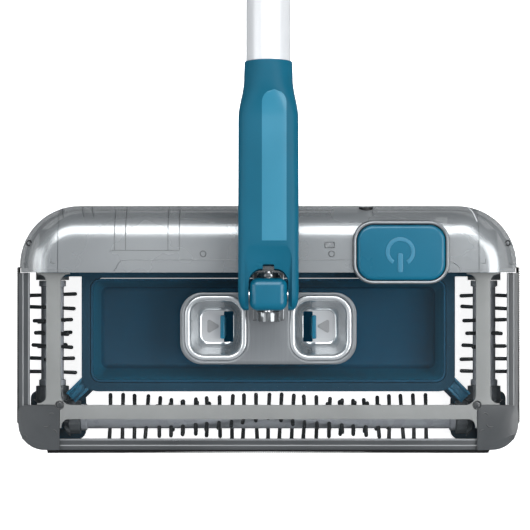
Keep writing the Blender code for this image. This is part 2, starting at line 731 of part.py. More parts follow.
def make_gear_train():
    """Pinion on the motor shaft, idler, and the drive gear on the rear roller."""
    drive_r, idler_r, pinion_r = (t * GEAR_MODULE / 2 for t in (DRIVE_TEETH, IDLER_TEETH, PINION_TEETH))
    # In each gear's own plane, local x is down and local y is along +Y.
    drive = Vector((-ROLLER_Z, REAR_ROLLER_Y))
    pinion = Vector((-MOTOR_Z, MOTOR_Y))
    gap = 0.15 * MM
    near = drive_r + idler_r + gap
    far = pinion_r + idler_r + gap
    between = (pinion - drive).length
    along = (near**2 - far**2 + between**2) / (2 * between)
    aside = math.sqrt(max(near**2 - along**2, 0.0))
    ahead = (pinion - drive).normalized()
    idler = drive + ahead * along + Vector((-ahead.y, ahead.x)) * aside
    drive_phase = bearing(drive, idler)
    idler_phase = mesh_phase(IDLER_TEETH, bearing(idler, drive), DRIVE_TEETH, drive_phase)
    pinion_phase = mesh_phase(PINION_TEETH, bearing(pinion, idler), IDLER_TEETH, idler_phase)
    spur("drive_gear", DRIVE_TEETH, (GEAR_X, drive.y, -drive.x), TUBE_R + GAP, drive_phase)
    idler_at = (GEAR_X, idler.y, -idler.x)
    idler_gear = spur("idler_gear", IDLER_TEETH, idler_at, 0, idler_phase)
    join(idler_gear, tool(rod(2 * MM, -3.7 * MM, 3.7 * MM, 10), at=idler_at, turn=TURN_TO["X"]))
    shaft_at = (GEAR_X, pinion.y, -pinion.x)
    pinion_gear = spur("motor_pinion", PINION_TEETH, shaft_at, 0, pinion_phase)
    join(pinion_gear, tool(rod(1.2 * MM, -66 * MM, 3 * MM, 10), at=shaft_at, turn=TURN_TO["X"]))


# ---------------------------------------------------------------- drive, battery and switch


def make_electrics():
    start, end = 18.0 * MM, 48.0 * MM
    shoulder = end - 1.5 * MM
    profile = [(0, end), (4 * MM, end), (4 * MM, shoulder), (9.6 * MM, shoulder), (9.6 * MM, start + 4 * MM),
               (8.6 * MM, start), (0, start)]
    turned("motor", STEEL, "X", (0, MOTOR_Y, MOTOR_Z), profile)
    pack = part("battery_pack", rod(8.2 * MM, -100 * MM, -14 * MM, 20), WRAP, at=(0, 48.2 * MM, 46.2 * MM),
                turn=TURN_TO["X"])
    join(pack, tool(rod(8.2 * MM, -100 * MM, -14 * MM, 20), at=(0, 64.2 * MM, 46.2 * MM), turn=TURN_TO["X"]))
    part("circuit_board", block((60 * MM, 41 * MM, 39.5 * MM), (110 * MM, 57 * MM, 41.1 * MM)), BOARD)
    part("switch", block((80 * MM, 44 * MM, 41.4 * MM), (93 * MM, 55 * MM, 49.9 * MM)), BLACK)
    turned("charge_jack", BLACK, "Y", (JACK_X, 0, JACK_Z),
           [(4.6 * MM, 79.6 * MM), (4.6 * MM, 68 * MM), (3.1 * MM, 68 * MM), (3.1 * MM, 79.6 * MM)])
    low = (LENS_X - 3.1 * MM, LENS_Y - 1.8 * MM, 58 * MM)
    high = (LENS_X + 3.1 * MM, LENS_Y + 1.8 * MM, 62.3 * MM)
    part("indicator_lens", block(low, high), LENS)


def make_button():
    bezel = part("button_bezel", slab([button_outline(BEZEL)], *BEZEL_Z), SILVER)
    bevel(bezel, 1.0 * MM, 2)
    stem_at = (86.5 * MM, 49.5 * MM, 0)
    cut(
        bezel,
        tool(slab([button_outline(GAP)], BUTTON_Z[0] - BUTTON_TRAVEL - GAP, 0.08)),
        tool(rod(3.4 * MM, 0.04, 0.07, 14), at=stem_at),
    )
    button = part("power_button", slab([button_outline(0)], *BUTTON_Z), TEAL)
    bevel(button, 2.0 * MM, 3)
    join(button, tool(rod(3.0 * MM, 52.8 * MM, 60 * MM, 14), at=stem_at))


# ---------------------------------------------------------------- handle


def make_swivel():
    """A bracket on the grip plate carries a pin along Y, on which the knuckle rolls."""
    x = 10.5 * MM
    base = (47.2 * MM, 50.0 * MM)
    front = (4.8 * MM, 10.9 * MM)
    rear = (33.3 * MM, 36.1 * MM)
    bracket = part("swivel_bracket", block((-x, front[0], base[0]), (x, rear[1], base[1])), SMOKE)
    for y0, y1 in (front, rear):
        low, high = base[0] + 1 * MM, SWIVEL_Z + 7.5 * MM
        lug = [(-7.5 * MM, low, 0), (7.5 * MM, low, 0), (7.5 * MM, high, 7.4 * MM), (-7.5 * MM, high, 7.4 * MM)]
        # The outline is drawn in XZ, so the slab is turned upright about X.
        join(bracket, tool(slab([rounded(lug)], -y1, -y0), turn=(math.pi / 2, 0, 0)))
    bore = tool(rod(PIN_R + GAP, -0.01, 0.06, 16), at=(0, 0, SWIVEL_Z), turn=TURN_TO["Y"])
    cut(bracket, bore)
    turned("swivel_pin", STEEL, "Y", (0, 0, SWIVEL_Z),
           [(0, 37.4 * MM), (PIN_R, 37.4 * MM), (PIN_R, 5.2 * MM), (0, 5.2 * MM)], steps=16)
    low = (-KNUCKLE_X, KNUCKLE_Y[0] - PIVOT_Y, -9.5 * MM)
    high = (KNUCKLE_X, KNUCKLE_Y[1] - PIVOT_Y, PIVOT_Z - SWIVEL_Z + 9.5 * MM)
    knuckle = part("knuckle", block(low, high), TEAL, SWIVEL)
    bevel(knuckle, 4.0 * MM, 3)
    pitch_bore = rod(4.0 * MM + GAP, -0.03, 0.03, 16)
    cut(knuckle, bore, tool(pitch_bore, SWIVEL, (0, 0, PIVOT_Z - SWIVEL_Z), TURN_TO["X"]))


def yoke_ring(y, half_width, half_height, square):
    """A section across the handle: a circle when square is 1, and boxier below it."""
    points = []
    for k in range(24):
        angle = 2 * math.pi * (k + 0.5) / 24
        c, s = math.cos(angle), math.sin(angle)
        x = math.copysign(abs(c) ** square, c) * half_width
        z = math.copysign(abs(s) ** square, s) * half_height
        points.append(Vector((x, y, z)))
    return points


def make_yoke():
    tip = 9.8 * MM
    sections = []
    for a in (0.985, 0.87, 0.6, 0.3):
        sections.append((-a * tip, FORK_X - 0.6 * MM * a, tip * math.sqrt(1 - a * a), 0.5))
    sections += [
        (0, FORK_X, tip, 0.5),
        (30 * MM, FORK_X, 10.3 * MM, 0.5),
        (112 * MM, FORK_X, 11.5 * MM, 0.55),
        (124 * MM, 19.2 * MM, 12.6 * MM, 0.7),
        (135 * MM, 17.0 * MM, 14.4 * MM, 0.9),
        (144 * MM, 15.7 * MM, 15.5 * MM, 1.0),
        (YOKE_END, 15.5 * MM, 15.5 * MM, 1.0),
    ]
    yoke = part("yoke", loft([yoke_ring(*section) for section in sections]), TEAL, HANDLE)
    slot = rounded([(-FORK_SLOT_X, -0.03, 0), (FORK_SLOT_X, -0.03, 0), (FORK_SLOT_X, FORK_SLOT_END, 5 * MM),
                    (-FORK_SLOT_X, FORK_SLOT_END, 5 * MM)])
    scoop_end = SCOOP_END + 1.5 * MM
    scoop = rounded([(-SCOOP_X, -2 * MM, 0), (SCOOP_X, -2 * MM, 0), (SCOOP_X, scoop_end, 12 * MM),
                     (-SCOOP_X, scoop_end, 12 * MM)])
    cut(
        yoke,
        tool(slab([slot], -0.03, 0.03), HANDLE),
        tool(slab([scoop], 0, 0.02), HANDLE, (0, 0, 0.5 * MM), (math.radians(14), 0, 0)),
        tool(rod(HANDLE_R + GAP / 2, SOCKET_START, 0.16, 24), HANDLE, turn=TURN_TO["Y"]),
        tool(rod(4.0 * MM + GAP, -0.03, 0.03, 16), HANDLE, turn=TURN_TO["X"]),
        solver="MANIFOLD",
    )
    turned("pitch_pin", STEEL, "X", (0, 0, 0),
           [(0, 18.6 * MM), (4 * MM, 18.6 * MM), (4 * MM, -18.6 * MM), (0, -18.6 * MM)], HANDLE, 16)


def make_handle():
    bore = HANDLE_R - 1.4 * MM
    ends = [SOCKET_START + GAP, TUBE_JOINT, GRIP[0]]
    for name, low, high in zip(("lower_tube", "upper_tube"), ends, ends[1:]):
        low, high = low + GAP / 2, high - GAP / 2
        profile = [(HANDLE_R, high), (HANDLE_R, low), (bore, low), (bore, high)]
        turned(name, WHITE_METAL, "Y", (0, 0, 0), profile, HANDLE, 20)
    half = 16 * MM
    r_in, r_out = HANDLE_R + GAP / 2, HANDLE_R + 1.6 * MM
    turned("tube_sleeve", TEAL, "Y", (0, TUBE_JOINT, 0),
           [(r_out - 0.6 * MM, half), (r_out, half - 2 * MM), (r_out, -half + 2 * MM),
            (r_out - 0.6 * MM, -half), (r_in, -half), (r_in, half)], HANDLE, 20)
    g0, g1 = GRIP[0] + GAP, GRIP[1]
    turned("grip", RUBBER, "Y", (0, 0, 0),
           [(0, g1), (GRIP_R - 2 * MM, g1), (GRIP_R, g1 - 4 * MM), (GRIP_R, g1 - 25 * MM),
            (GRIP_R - 1.6 * MM, g1 - 60 * MM),
            (GRIP_R, g1 - 95 * MM), (GRIP_R + 0.2 * MM, g0 + 4 * MM), (HANDLE_R, g0), (0, g0)], HANDLE, 20)
    loop_r = 11.5 * MM
    centre = LOOP_END - loop_r
    edge = rounded([(-loop_r, g1 + GAP, 0), (loop_r, g1 + GAP, 0), (loop_r, LOOP_END, loop_r * 0.98),
                    (-loop_r, LOOP_END, loop_r * 0.98)], 8)
    loop = part("hang_loop", slab([edge, circle(0, centre, 6.5 * MM, 16)], -4 * MM, 4 * MM), TEAL, HANDLE)
    bevel(loop, 0.8 * MM, 1)


make_housing()
make_frame()
make_cover()
make_top_frame()
make_frame_screws()
make_bumpers()
make_plate()
make_tabs()
make_chassis()
make_wheels()
make_tray()
make_rollers()
make_gear_train()
make_electrics()
make_button()
make_swivel()
make_yoke()
make_handle()
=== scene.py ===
"""Looks of the cordless carpet sweeper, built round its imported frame. Lengths are in metres, and the head's
pieces are drawn round its own middle, HEAD."""

import json
import math
import random

import bmesh
import bpy
from mathutils import Matrix, Vector


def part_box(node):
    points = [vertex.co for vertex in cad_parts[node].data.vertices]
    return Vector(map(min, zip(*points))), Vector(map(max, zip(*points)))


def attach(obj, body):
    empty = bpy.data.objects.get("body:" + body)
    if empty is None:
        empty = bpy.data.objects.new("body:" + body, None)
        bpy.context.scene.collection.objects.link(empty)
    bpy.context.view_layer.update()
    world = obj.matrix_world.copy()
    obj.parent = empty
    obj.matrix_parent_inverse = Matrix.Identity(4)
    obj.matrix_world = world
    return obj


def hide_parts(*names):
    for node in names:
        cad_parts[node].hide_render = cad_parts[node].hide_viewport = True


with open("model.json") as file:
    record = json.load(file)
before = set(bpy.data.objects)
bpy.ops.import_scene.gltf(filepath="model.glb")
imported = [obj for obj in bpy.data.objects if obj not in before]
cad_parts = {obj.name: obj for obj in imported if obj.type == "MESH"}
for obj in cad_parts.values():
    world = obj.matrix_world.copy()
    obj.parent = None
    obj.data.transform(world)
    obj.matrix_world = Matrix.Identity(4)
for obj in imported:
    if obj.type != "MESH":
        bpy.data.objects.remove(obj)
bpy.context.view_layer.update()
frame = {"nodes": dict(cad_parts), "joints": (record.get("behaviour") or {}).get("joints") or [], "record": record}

MM = 0.001

# Head: half width, half depth, corner radii, and the outer wall with its flange.
HEAD_X = 165.0 * MM
HEAD_Y = 80.7 * MM
REAR_CORNER = 39.6 * MM
FRONT_CORNER = 17.2 * MM
COVER_TOP = 44.0 * MM
GAP = 0.3 * MM
WALL = 2.5 * MM
FLANGE = 7.3 * MM
CORNER_JOINT = 137.7 * MM
SKIRT_Z = 5.0 * MM

# Rear housing, which rolls off towards the rear and the sides.
HOUSING_FRONT = 36.5 * MM
HOUSING_TOP = 62.0 * MM
ROLL_OFF = 22.0 * MM
ROLL_DROP = 28.0 * MM

# Power button: x and y limits, and corner radius.
BUTTON = (57.9 * MM, 115.5 * MM, 31.5 * MM, 67.6 * MM)
BUTTON_R = 10.6 * MM

# Side ribs and front bar, the grip plate, and the cups in it.
RIB_X = (137.0 * MM, 146.5 * MM)
BAR_Y = (-60.3 * MM, -51.0 * MM)
RAISED_Z = (44.3 * MM, 47.0 * MM)
PLATE_X = 58.2 * MM
PLATE_Y = (-24.2 * MM, 23.3 * MM)
PLATE_Z = (44.3 * MM, 46.8 * MM)
CUP_X = (17.7 * MM, 51.6 * MM)
CUP_Y = (-18.2 * MM, 17.8 * MM)
CUP_FLOOR_X = (23.2 * MM, 44.5 * MM)
CUP_FLOOR_Y = (-10.0 * MM, 11.0 * MM)
CUP_FLOOR_Z = 30.0 * MM

# Roller brushes and handle.
ROLLER_X = 145.0 * MM
FRONT_ROLLER_Y = -60.8 * MM
REAR_ROLLER_Y = 58.0 * MM
ROLLER_Z = 17.0 * MM
TUBE_R = 7.6 * MM
BRISTLE_R = 16.8 * MM
HANDLE_R = 14.35 * MM

joints = {joint["name"]: joint for joint in frame["joints"]}
HEAD = Vector((0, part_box("outer_frame")[0].y + HEAD_Y, 0))
PITCH = Vector(joints["handle_pitch"]["pos_m"])
GRIP_R = 15.3 * MM
GRIP_END = 985.0 * MM
DROOP = math.asin((PITCH.z - GRIP_R - 0.6 * MM) / GRIP_END)
ALONG_HANDLE = Matrix.Translation(PITCH) @ Matrix.Rotation(-DROOP, 4, "X")
IN_HEAD = Matrix.Translation(HEAD)
TURN_TO = {
    "X": Matrix.Rotation(math.pi / 2, 4, "Y"),
    "Y": Matrix.Rotation(-math.pi / 2, 4, "X"),
    "Z": Matrix.Identity(4),
}


# ---------------------------------------------------------------- materials


def srgb(code):
    """Linear colour of a hex code such as 2b7391."""
    values = [int(code[i : i + 2], 16) / 255 for i in (0, 2, 4)]
    return [v / 12.92 if v <= 0.04045 else ((v + 0.055) / 1.055) ** 2.4 for v in values]


def node(tree, kind, **settings):
    made = tree.nodes.new(kind)
    for key, value in settings.items():
        setattr(made, key, value)
    return made


def surface(name, code, roughness, metallic=0.0, alpha=1.0, coat=0.0, vary=0.05, spots=90.0, grain=0.03,
            grain_size=1500.0, stretch=(1, 1, 1), rough_vary=0.06, sheen=0.0, specular=0.5):
    """Moulded or painted surface: faint cloudy tone, uneven gloss and a fine grain, all from noise."""
    look = bpy.data.materials.new(name)
    look.use_nodes = True
    tree = look.node_tree
    shader = tree.nodes["Principled BSDF"]
    shader.inputs["Metallic"].default_value = metallic
    shader.inputs["Alpha"].default_value = alpha
    shader.inputs["Coat Weight"].default_value = coat
    shader.inputs["Coat Roughness"].default_value = 0.06
    shader.inputs["Sheen Weight"].default_value = sheen
    shader.inputs["Specular IOR Level"].default_value = specular
    place = node(tree, "ShaderNodeTexCoord")
    squeeze = node(tree, "ShaderNodeMapping")
    squeeze.inputs["Scale"].default_value = stretch
    tree.links.new(place.outputs["Object"], squeeze.inputs["Vector"])
    cloud = node(tree, "ShaderNodeTexNoise")
    cloud.inputs["Scale"].default_value = spots
    cloud.inputs["Detail"].default_value = 4.0
    tree.links.new(squeeze.outputs["Vector"], cloud.inputs["Vector"])
    ramp = node(tree, "ShaderNodeValToRGB")
    colour = srgb(code)
    ramp.color_ramp.elements[0].position = 0.3
    ramp.color_ramp.elements[1].position = 0.7
    ramp.color_ramp.elements[0].color = [c * (1 - vary) for c in colour] + [1]
    ramp.color_ramp.elements[1].color = [min(1.0, c * (1 + vary)) for c in colour] + [1]
    tree.links.new(cloud.outputs["Fac"], ramp.inputs["Fac"])
    tree.links.new(ramp.outputs["Color"], shader.inputs["Base Color"])
    gloss = node(tree, "ShaderNodeMapRange")
    gloss.inputs["To Min"].default_value = max(0.02, roughness - rough_vary)
    gloss.inputs["To Max"].default_value = min(1.0, roughness + rough_vary)
    tree.links.new(cloud.outputs["Fac"], gloss.inputs["Value"])
    tree.links.new(gloss.outputs["Result"], shader.inputs["Roughness"])
    if grain > 0:
        fine = node(tree, "ShaderNodeTexNoise")
        fine.inputs["Scale"].default_value = grain_size
        fine.inputs["Detail"].default_value = 2.0
        tree.links.new(squeeze.outputs["Vector"], fine.inputs["Vector"])
        bump = node(tree, "ShaderNodeBump")
        bump.inputs["Strength"].default_value = grain
        bump.inputs["Distance"].default_value = 0.0002
        tree.links.new(fine.outputs["Fac"], bump.inputs["Height"])
        tree.links.new(bump.outputs["Normal"], shader.inputs["Normal"])
    return look


LOOKS = {
    "smoke_plastic": surface("smoke_plastic", "9a9ea0", 0.26, metallic=0.45, alpha=0.74, coat=0.12,
                             vary=0.10, spots=10, grain=0.0),
    "grey_plastic": surface("grey_plastic", "858786", 0.40, alpha=0.94, vary=0.08, spots=30, grain=0.05,
                            specular=0.25),
    "dark_grey_plastic": surface("dark_grey_plastic", "3f4244", 0.30, alpha=0.90, coat=0.15, vary=0.16,
                                 spots=26, grain=0.03, specular=0.4),
    "clear_plastic": surface("clear_plastic", "8a9499", 0.05, alpha=0.02, vary=0.02, spots=40, grain=0.0,
                             specular=0.05),
    "silver_plastic": surface("silver_plastic", "696d70", 0.34, metallic=0.35, vary=0.05, spots=900,
                              stretch=(1.0, 0.04, 1.0), grain=0.10, grain_size=2600),
    "cup_silver": surface("cup_silver", "b4b8ba", 0.24, metallic=0.7, vary=0.03, grain=0.01),
    "teal_plastic": surface("teal_plastic", "085e78", 0.30, coat=0.08, vary=0.05, spots=40, grain=0.02,
                            specular=0.22),
    # Lighter teal of the yoke's top strip: a painted highlight, a softbox reflection painted on.
    "yoke_highlight_teal": surface("yoke_highlight_teal", "2a7a95", 0.34, coat=0.05, vary=0.04, spots=40, grain=0.02,
                          specular=0.25),
    "mark_teal": surface("mark_teal", "2f7591", 0.30, coat=0.2, vary=0.04, specular=0.3),
    "yoke_teal": surface("yoke_teal", "0a5870", 0.46, vary=0.05, spots=40, grain=0.02, specular=0.10),
    "chassis_teal": surface("chassis_teal", "0a3244", 0.60, vary=0.08, spots=25, grain=0.05, specular=0.08),
    "cup_floor": surface("cup_floor", "b4b6b8", 0.35, metallic=0.3, vary=0.02, grain=0.02),
    "dark_teal_plastic": surface("dark_teal_plastic", "083c53", 0.60, vary=0.08, spots=25, grain=0.05,
                                 specular=0.08),
    # Lighter teal for the tray's upper walls: painted light.
    "tray_wall_painted_light_teal": surface("tray_wall_painted_light_teal", "0e5068", 0.55, vary=0.06, spots=25, grain=0.03,
                              specular=0.10),
    "strut_teal": surface("strut_teal", "185873", 0.40, vary=0.08, spots=40, specular=0.2),
    "black_nylon": surface("black_nylon", "060607", 0.55, vary=0.3, spots=500, grain=0.2, specular=0.25),
    "black_rubber": surface("black_rubber", "121213", 0.75, vary=0.2, spots=300, grain=0.3,
                            grain_size=900, specular=0.3),
    "roller_tube": surface("roller_tube", "9b9fa5", 0.28, coat=0.2, vary=0.05, grain=0.03),
    "gear_nylon": surface("gear_nylon", "575b5e", 0.42, vary=0.2, spots=90, grain=0.1),
    "handle_tube": surface("handle_tube", "d3d5d7", 0.30, metallic=0.12, vary=0.01, spots=6, grain=0.0,
                           specular=0.4),
    "steel": surface("steel", "b9babc", 0.28, metallic=1.0, vary=0.06, grain=0.05, stretch=(1, 0.1, 1)),
    "circuit_board": surface("circuit_board", "1c5a34", 0.40, vary=0.25, spots=400, grain=0.05),
    "battery_wrap": surface("battery_wrap", "b98f6c", 0.35, vary=0.08, grain=0.03),
    "indicator_lens": surface("indicator_lens", "c4c8ca", 0.25, alpha=0.35, vary=0.05, grain=0.0),
    "bracket_smoke": surface("bracket_smoke", "6a6e70", 0.12, metallic=0.6, coat=0.6, vary=0.10, grain=0.0),
    "fold_grey": surface("fold_grey", "5c6062", 0.30, metallic=0.2, vary=0.06),
    "line_grey": surface("line_grey", "4a4d4f", 0.40, vary=0.06),
    "ring_dark": surface("ring_dark", "26282a", 0.35, vary=0.1),
    # Near-white for the line at the right rear joint: a painted glint.
    "painted_glint_pale": surface("painted_glint_pale", "e6e8ea", 0.25, vary=0.03),
    # Pale grey for the flange beads: painted highlights along the flange's edges.
    "flange_highlight_pale": surface("flange_highlight_pale", "7d8082", 0.30, vary=0.1, spots=30),
    "arrow_grey": surface("arrow_grey", "8c8d8e", 0.50, vary=0.03),
}

for entry in frame["record"]["subparts"]:
    solid = frame["nodes"][entry["node"]]
    solid.data.materials.clear()
    look = "chassis_teal" if entry["node"] == "chassis" else entry["material_slot"]
    solid.data.materials.append(LOOKS[look])


# ---------------------------------------------------------------- shape helpers


def place(name, mesh, look, body="head", where=IN_HEAD, slot=None, stands_for=(), smooth=30.0):
    """A finished piece: its mesh is moved into the row frame, and it rides on a body."""
    mesh.transform(where)
    obj = bpy.data.objects.new(name, mesh)
    bpy.context.scene.collection.objects.link(obj)
    mesh.materials.clear()
    mesh.materials.append(LOOKS[look])
    mesh.shade_smooth()
    mesh.set_sharp_from_angle(angle=math.radians(smooth))
    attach(obj, body)
    if stands_for:
        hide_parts(*stands_for)
    return obj


def mesh_of(bm):
    mesh = bpy.data.meshes.new("shape")
    bmesh.ops.recalc_face_normals(bm, faces=bm.faces[:])
    bm.to_mesh(mesh)
    bm.free()
    return mesh


def block(low, high):
    bm = bmesh.new()
    bmesh.ops.create_cube(bm, size=1.0)
    bmesh.ops.scale(bm, vec=[b - a for a, b in zip(low, high)], verts=bm.verts)
    bmesh.ops.translate(bm, vec=[(a + b) / 2 for a, b in zip(low, high)], verts=bm.verts)
    return mesh_of(bm)


def rod(radius, start, end, axis="Z", at=(0, 0, 0), segments=40):
    bm = bmesh.new()
    bmesh.ops.create_cone(bm, cap_ends=True, segments=segments, radius1=radius, radius2=radius,
                          depth=end - start)
    bmesh.ops.translate(bm, vec=(0, 0, (start + end) / 2), verts=bm.verts)
    mesh = mesh_of(bm)
    mesh.transform(Matrix.Translation(at) @ TURN_TO[axis])
    return mesh


def rounded(corners, segments=10):
    """An outline through (x, y, radius) corners, with an arc at each corner that has a radius."""
    points = []
    for i, (x, y, radius) in enumerate(corners):
        here = Vector((x, y))
        if radius <= 0:
            points.append(here)
            continue
        before = (Vector(corners[i - 1][:2]) - here).normalized()
        after = (Vector(corners[(i + 1) % len(corners)][:2]) - here).normalized()
        half = before.angle(after) / 2
        centre = here + (before + after).normalized() * (radius / math.sin(half))
        first = (here + before * (radius / math.tan(half)) - centre).normalized()
        last = (here + after * (radius / math.tan(half)) - centre).normalized()
        for k in range(segments + 1):
            points.append(centre + first.slerp(last, k / segments) * radius)
    return points


def rectangle(x0, x1, y0, y1, radius=0.0, segments=10):
    return rounded([(x0, y0, radius), (x1, y0, radius), (x1, y1, radius), (x0, y1, radius)], segments)


def circle(x, y, radius, segments=40):
    turns = [2 * math.pi * k / segments for k in range(segments)]
    return [Vector((x + radius * math.cos(a), y + radius * math.sin(a))) for a in turns]


def slab(outlines, low, high, edge=0.0, edge_steps=3):
    """A plate between two heights, with holes for the outlines after the first, and softened edges."""
    curve = bpy.data.curves.new("outline", "CURVE")
    curve.dimensions = "2D"
    curve.fill_mode = "BOTH"
    curve.extrude = (high - low) / 2 - edge
    curve.bevel_depth = edge
    curve.bevel_resolution = edge_steps
    curve.offset = -edge
    for outline in outlines:
        spline = curve.splines.new("POLY")
        spline.points.add(len(outline) - 1)
        for point, spot in zip(spline.points, outline):
            point.co = (spot.x, spot.y, 0, 1)
        spline.use_cyclic_u = True
    obj = bpy.data.objects.new("outline", curve)
    bpy.context.scene.collection.objects.link(obj)
    bpy.context.view_layer.update()
    mesh = bpy.data.meshes.new_from_object(obj.evaluated_get(bpy.context.evaluated_depsgraph_get()))
    bpy.data.objects.remove(obj)
    bm = bmesh.new()
    bm.from_mesh(mesh)
    bmesh.ops.remove_doubles(bm, verts=bm.verts, dist=2e-6)
    bmesh.ops.translate(bm, vec=(0, 0, (low + high) / 2), verts=bm.verts)
    return mesh_of(bm)


def loft(rings, capped=True):
    """A closed solid through rings of the same number of points; without caps, the last joins the first."""
    bm = bmesh.new()
    loops = [[bm.verts.new(point) for point in ring] for ring in rings]
    count = len(loops[0])
    pairs = list(zip(loops, loops[1:]))
    if not capped:
        pairs.append((loops[-1], loops[0]))
    for lower, upper in pairs:
        for k in range(count):
            bm.faces.new((lower[k], lower[(k + 1) % count], upper[(k + 1) % count], upper[k]))
    if capped:
        bm.faces.new(loops[0])
        bm.faces.new(list(reversed(loops[-1])))
    return mesh_of(bm)


def turned(profile, axis, at=(0, 0, 0), steps=48):
    """A turned solid from its (radius, height) profile. One that starts off the axis is a closed ring."""
    rings = []
    for radius, height in profile:
        rings.append([Vector((p.x, p.y, height)) for p in circle(0, 0, max(radius, 1e-6), steps)])
    mesh = loft(rings, capped=profile[0][0] <= 0)
    mesh.transform(Matrix.Translation(at) @ TURN_TO[axis])
    return mesh


def at_height(outline, z):
    return [Vector((point.x, point.y, z)) for point in outline]


def booled(mesh, *steps):
    """The mesh after Boolean steps, each an operation and a tool's mesh."""
    obj = bpy.data.objects.new("work", mesh)
    bpy.context.scene.collection.objects.link(obj)
    helpers = []
    for operation, tool in steps:
        helper = bpy.data.objects.new("tool", tool)
        bpy.context.scene.collection.objects.link(helper)
        helpers.append(helper)
        step = obj.modifiers.new("step", "BOOLEAN")
        step.operation = operation
        step.solver = "MANIFOLD"
        step.object = helper
    bpy.context.view_layer.update()
    result = bpy.data.meshes.new_from_object(obj.evaluated_get(bpy.context.evaluated_depsgraph_get()))
    for extra in [obj, *helpers]:
        bpy.data.objects.remove(extra)
    return result


def softened(mesh, width, segments=3, angle=30.0):
    """The mesh with its sharp edges bevelled."""
    obj = bpy.data.objects.new("work", mesh)
    bpy.context.scene.collection.objects.link(obj)
    edge = obj.modifiers.new("edge", "BEVEL")
    edge.width = width
    edge.segments = segments
    edge.limit_method = "ANGLE"
    edge.angle_limit = math.radians(angle)
    bpy.context.view_layer.update()
    result = bpy.data.meshes.new_from_object(obj.evaluated_get(bpy.context.evaluated_depsgraph_get()))
    bpy.data.objects.remove(obj)
    return result


def joined(meshes):
    """One mesh holding several separate shells."""
    bm = bmesh.new()
    for mesh in meshes:
        bm.from_mesh(mesh)
    result = bpy.data.meshes.new("shape")
    bm.to_mesh(result)
    bm.free()
    return result


# ---------------------------------------------------------------- brushes


def tuft(radius, inner, outer, sides=10):
    """One tuft of bristles standing along Z, with a domed end and a slightly uneven belly."""
    profile = [(0.0, inner), (radius * 0.92, inner), (radius, inner + (outer - inner) * 0.4),
               (radius * 1.04, outer - radius * 0.9), (radius * 0.82, outer - radius * 0.35),
               (radius * 0.42, outer - radius * 0.05), (0.0, outer)]
    return turned(profile, "Z", steps=sides)


def brush(name, axis, ends, pitch, twist, first_angle, chance, body, replaces):
    """Tufts in four rows that wind round a roller, mirrored at its middle."""
    half = (ends[1] - ends[0]) / 2
    middle = (ends[0] + ends[1]) / 2
    count = int(round((ends[1] - ends[0]) / pitch))
    shells = []
    for row in range(4):
        for k in range(count + 1):
            spot = middle + (k - count / 2) * (ends[1] - ends[0]) / count
            angle = first_angle + row * math.pi / 2 + twist * abs(spot - middle) / half
            reach = BRISTLE_R - 0.3 * MM + chance.uniform(-0.25, 0.25) * MM
            shape = tuft(1.32 * MM, TUBE_R - 1.0 * MM, reach)
            lean = Matrix.Rotation(chance.uniform(-0.06, 0.06), 4, "Y")
            sway = Matrix.Rotation(chance.uniform(-0.05, 0.05), 4, "X")
            if axis == "X":
                spin = Matrix.Rotation(angle, 4, "X")
            else:
                spin = Matrix.Rotation(angle, 4, "Y")
            shape.transform(spin @ lean @ sway)
            shape.transform(Matrix.Translation((spot, 0, 0) if axis == "X" else (0, spot, 0)))
            shells.append(shape)
    centre = sum(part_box(replaces), Vector()) / 2
    move = Vector((0, centre.y, centre.z)) if axis == "X" else Vector((centre.x, 0, centre.z))
    shift = Matrix.Translation(move if axis == "X" else move + Vector((0, HEAD.y, 0)))
    return place(name, joined(shells), "black_nylon", body, shift, stands_for=(replaces,))


def make_brushes():
    chance = random.Random(7)
    long = (-106.0 * MM, 106.0 * MM)
    short = (-30.2 * MM, 21.4 * MM)
    brush("front_tufts", "X", long, 8.3 * MM, math.radians(80), 0.0, chance, "front_brush", "front_bristles")
    brush("rear_tufts", "X", long, 8.3 * MM, math.radians(80), 0.4, chance, "rear_brush", "rear_bristles")
    quarter = math.pi / 4
    brush("left_tufts", "Y", short, 8.3 * MM, quarter, quarter, chance, "left_brush", "left_bristles")
    brush("right_tufts", "Y", short, 8.3 * MM, quarter, -quarter, chance, "right_brush", "right_bristles")


# ---------------------------------------------------------------- housing


def housing_outline(inset, front, segments=14):
    x = HEAD_X - inset
    return rounded([(-x, front, 0), (x, front, 0), (x, HEAD_Y - inset, REAR_CORNER - inset),
                    (-x, HEAD_Y - inset, REAR_CORNER - inset)], segments)


